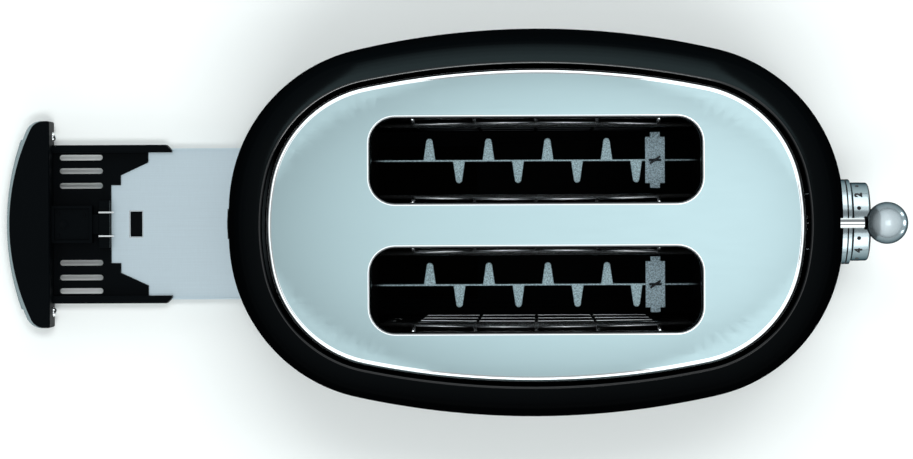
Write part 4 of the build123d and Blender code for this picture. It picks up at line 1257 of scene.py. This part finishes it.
def makeWorld():
    # dim all round, a little brighter overhead
    world = bpy.data.worlds.new("studio")
    scene.world = world
    world.use_nodes = True
    tree = world.node_tree
    direction = tree.nodes.new("ShaderNodeTexCoord")
    parts = tree.nodes.new("ShaderNodeSeparateXYZ")
    tree.links.new(direction.outputs["Generated"], parts.inputs[0])
    climb = Wire(tree, parts.outputs["Z"])
    ramp = tree.nodes.new("ShaderNodeValToRGB")
    fillRamp(ramp.color_ramp, [(0.0, (0.42, 0.44, 0.45)), (0.12, (0.16, 0.17, 0.18)),
                               (0.62, (0.30, 0.32, 0.33)), (1.0, (0.44, 0.46, 0.47))])
    plug(tree, ramp.inputs["Fac"], climb)
    tree.links.new(ramp.outputs["Color"], tree.nodes["Background"].inputs["Color"])
    tree.nodes["Background"].inputs["Strength"].default_value = 1.0


makeWorld()
coolWhite, softWhite, plainWhite = (0.96, 0.99, 1.0), (0.98, 1.0, 1.0), (1.0, 1.0, 1.0)
ballSpot = (0.16, 0.0, 0.168)
lamps = {
    # place, what it points at, width, height, radiance, colour
    "ceilingBox": ((0.10, 0.0, 1.95), (0.10, 0.0, 0.0), 0.90, 0.86, 0.98, coolWhite),
    "ceilingEnd": ((0.34, 0.0, 1.94), (0.34, 0.0, 0.0), 0.34, 0.80, 0.60, coolWhite),
    "backBox": ((0.0, 1.35, 0.62), (0.0, 0.0, 0.12), 2.2, 1.15, 1.35, softWhite),
    "nearBox": ((0.0, -1.35, 0.62), (0.0, 0.0, 0.12), 2.2, 1.15, 1.35, softWhite),
    "crestLight": ((0.55, -1.10, 1.06), (0.0, 0.0, 0.2), 1.5, 0.5, 16.0, softWhite),
    "edgeWide": ((0.1, 0.0, 1.2), (0.1, 0.0, 0.2), 1.9, 6.0, 1.15, softWhite),
    "floorBack": ((0.1, 0.38, 1.95), (0.1, 0.38, 0.0), 0.55, 0.30, 24.0, softWhite),
    "floorNear": ((0.1, -0.38, 1.95), (0.1, -0.38, 0.0), 0.55, 0.30, 24.0, softWhite),
    "dialBack": ((0.16, 0.95, 0.72), (0.16, 0.0, 0.07), 0.9, 0.95, 1.1, softWhite),
    "dialNear": ((0.16, -0.95, 0.72), (0.16, 0.0, 0.07), 0.9, 0.95, 1.3, softWhite),
    "trayEnd": ((-0.62, 0.0, 1.90), (-0.26, 0.0, 0.02), 0.5, 1.2, 0.15, softWhite),
    "windowMiddle": ((0.62, 0.0, 0.02), ballSpot, 0.075, 0.120, 70.0, plainWhite),
    "windowBack": ((0.60, 0.25, 0.02), ballSpot, 0.06, 0.07, 55.0, plainWhite),
    "windowNear": ((0.60, -0.25, 0.02), ballSpot, 0.06, 0.07, 55.0, plainWhite),
}
# which pieces a lamp leaves out, or lights alone
leftOut = {
    "ceilingBox": [bodyShell],
    "ceilingEnd": [bodyShell],
    "backBox": [leverBall, leverStem, bodyShell],
    "nearBox": [leverBall, bodyShell],
}
alone = {
    "crestLight": [crestBead],
    "edgeWide": [plateEdge],
    "floorBack": [floorPiece],
    "floorNear": [floorPiece],
    "dialBack": [browningDial, dialBezel],
    "dialNear": [browningDial, dialBezel],
    "trayEnd": [trayTrim, trayPull, trayStuds],
    "windowMiddle": [leverBall],
    "windowBack": [leverBall],
    "windowNear": [leverBall],
}
# an arch of boxes behind the shell, brighter the higher they stand
arch = {
    "radius": 1.6,
    "level": 0.2,
    "width": 1.0,
    "step": 16.0,
    "colour": (0.66, 1.0, 1.06),
    "radiances": {12: 1.6, 28: 2.7, 44: 3.9, 60: 5.0, 76: 5.4},  # by degrees above the plate
}
for climb, radiance in arch["radiances"].items():
    turn = math.radians(climb)
    spot = (0.0, arch["radius"] * math.cos(turn), arch["level"] + arch["radius"] * math.sin(turn))
    lamps[f"arch{climb}"] = (spot, (0.0, 0.0, arch["level"]), arch["width"],
                             arch["radius"] * math.radians(arch["step"]), radiance, arch["colour"])
    alone[f"arch{climb}"] = [bodyShell]
# discs over the ball, one inside the other, that shade it from white to grey
discs = {
    "above": (0.1595, 0.0, 0.42),
    "under": (0.1595, 0.0, 0.0),
    "radiances": {3.2: 0.8, 1.16: 0.7, 0.676: 2.4, 0.434: 6.5, 0.277: 9.0, 0.156: 9.0},  # by width
}
for number, (width, radiance) in enumerate(discs["radiances"].items()):
    lamps[f"disc{number}"] = (discs["above"], discs["under"], width, width, radiance, plainWhite)
    alone[f"disc{number}"] = [leverBall]
for lampName, (spot, target, width, height, radiance, colour) in lamps.items():
    data = bpy.data.lights.new(lampName, "AREA")
    data.shape = "DISK" if width == height else "RECTANGLE"
    data.size, data.size_y = width, height
    area = width * height * (math.pi / 4 if width == height else 1.0)
    data.energy = radiance * area * math.pi
    data.color = colour
    lamp = placed(lampName, data)
    lamp.location = spot
    lamp.rotation_euler = (Vector(target) - Vector(spot)).to_track_quat("-Z", "Y").to_euler()
    lamp.visible_camera = False
    if lampName in leftOut or lampName in alone:
        group = bpy.data.collections.new(lampName + "Pieces")
        lamp.light_linking.receiver_collection = group
        for piece in leftOut.get(lampName, alone.get(lampName)):
            group.objects.link(piece)
        for entry in group.collection_objects:
            entry.light_linking.link_state = "EXCLUDE" if lampName in leftOut else "INCLUDE"
print("floor and lamps ready")
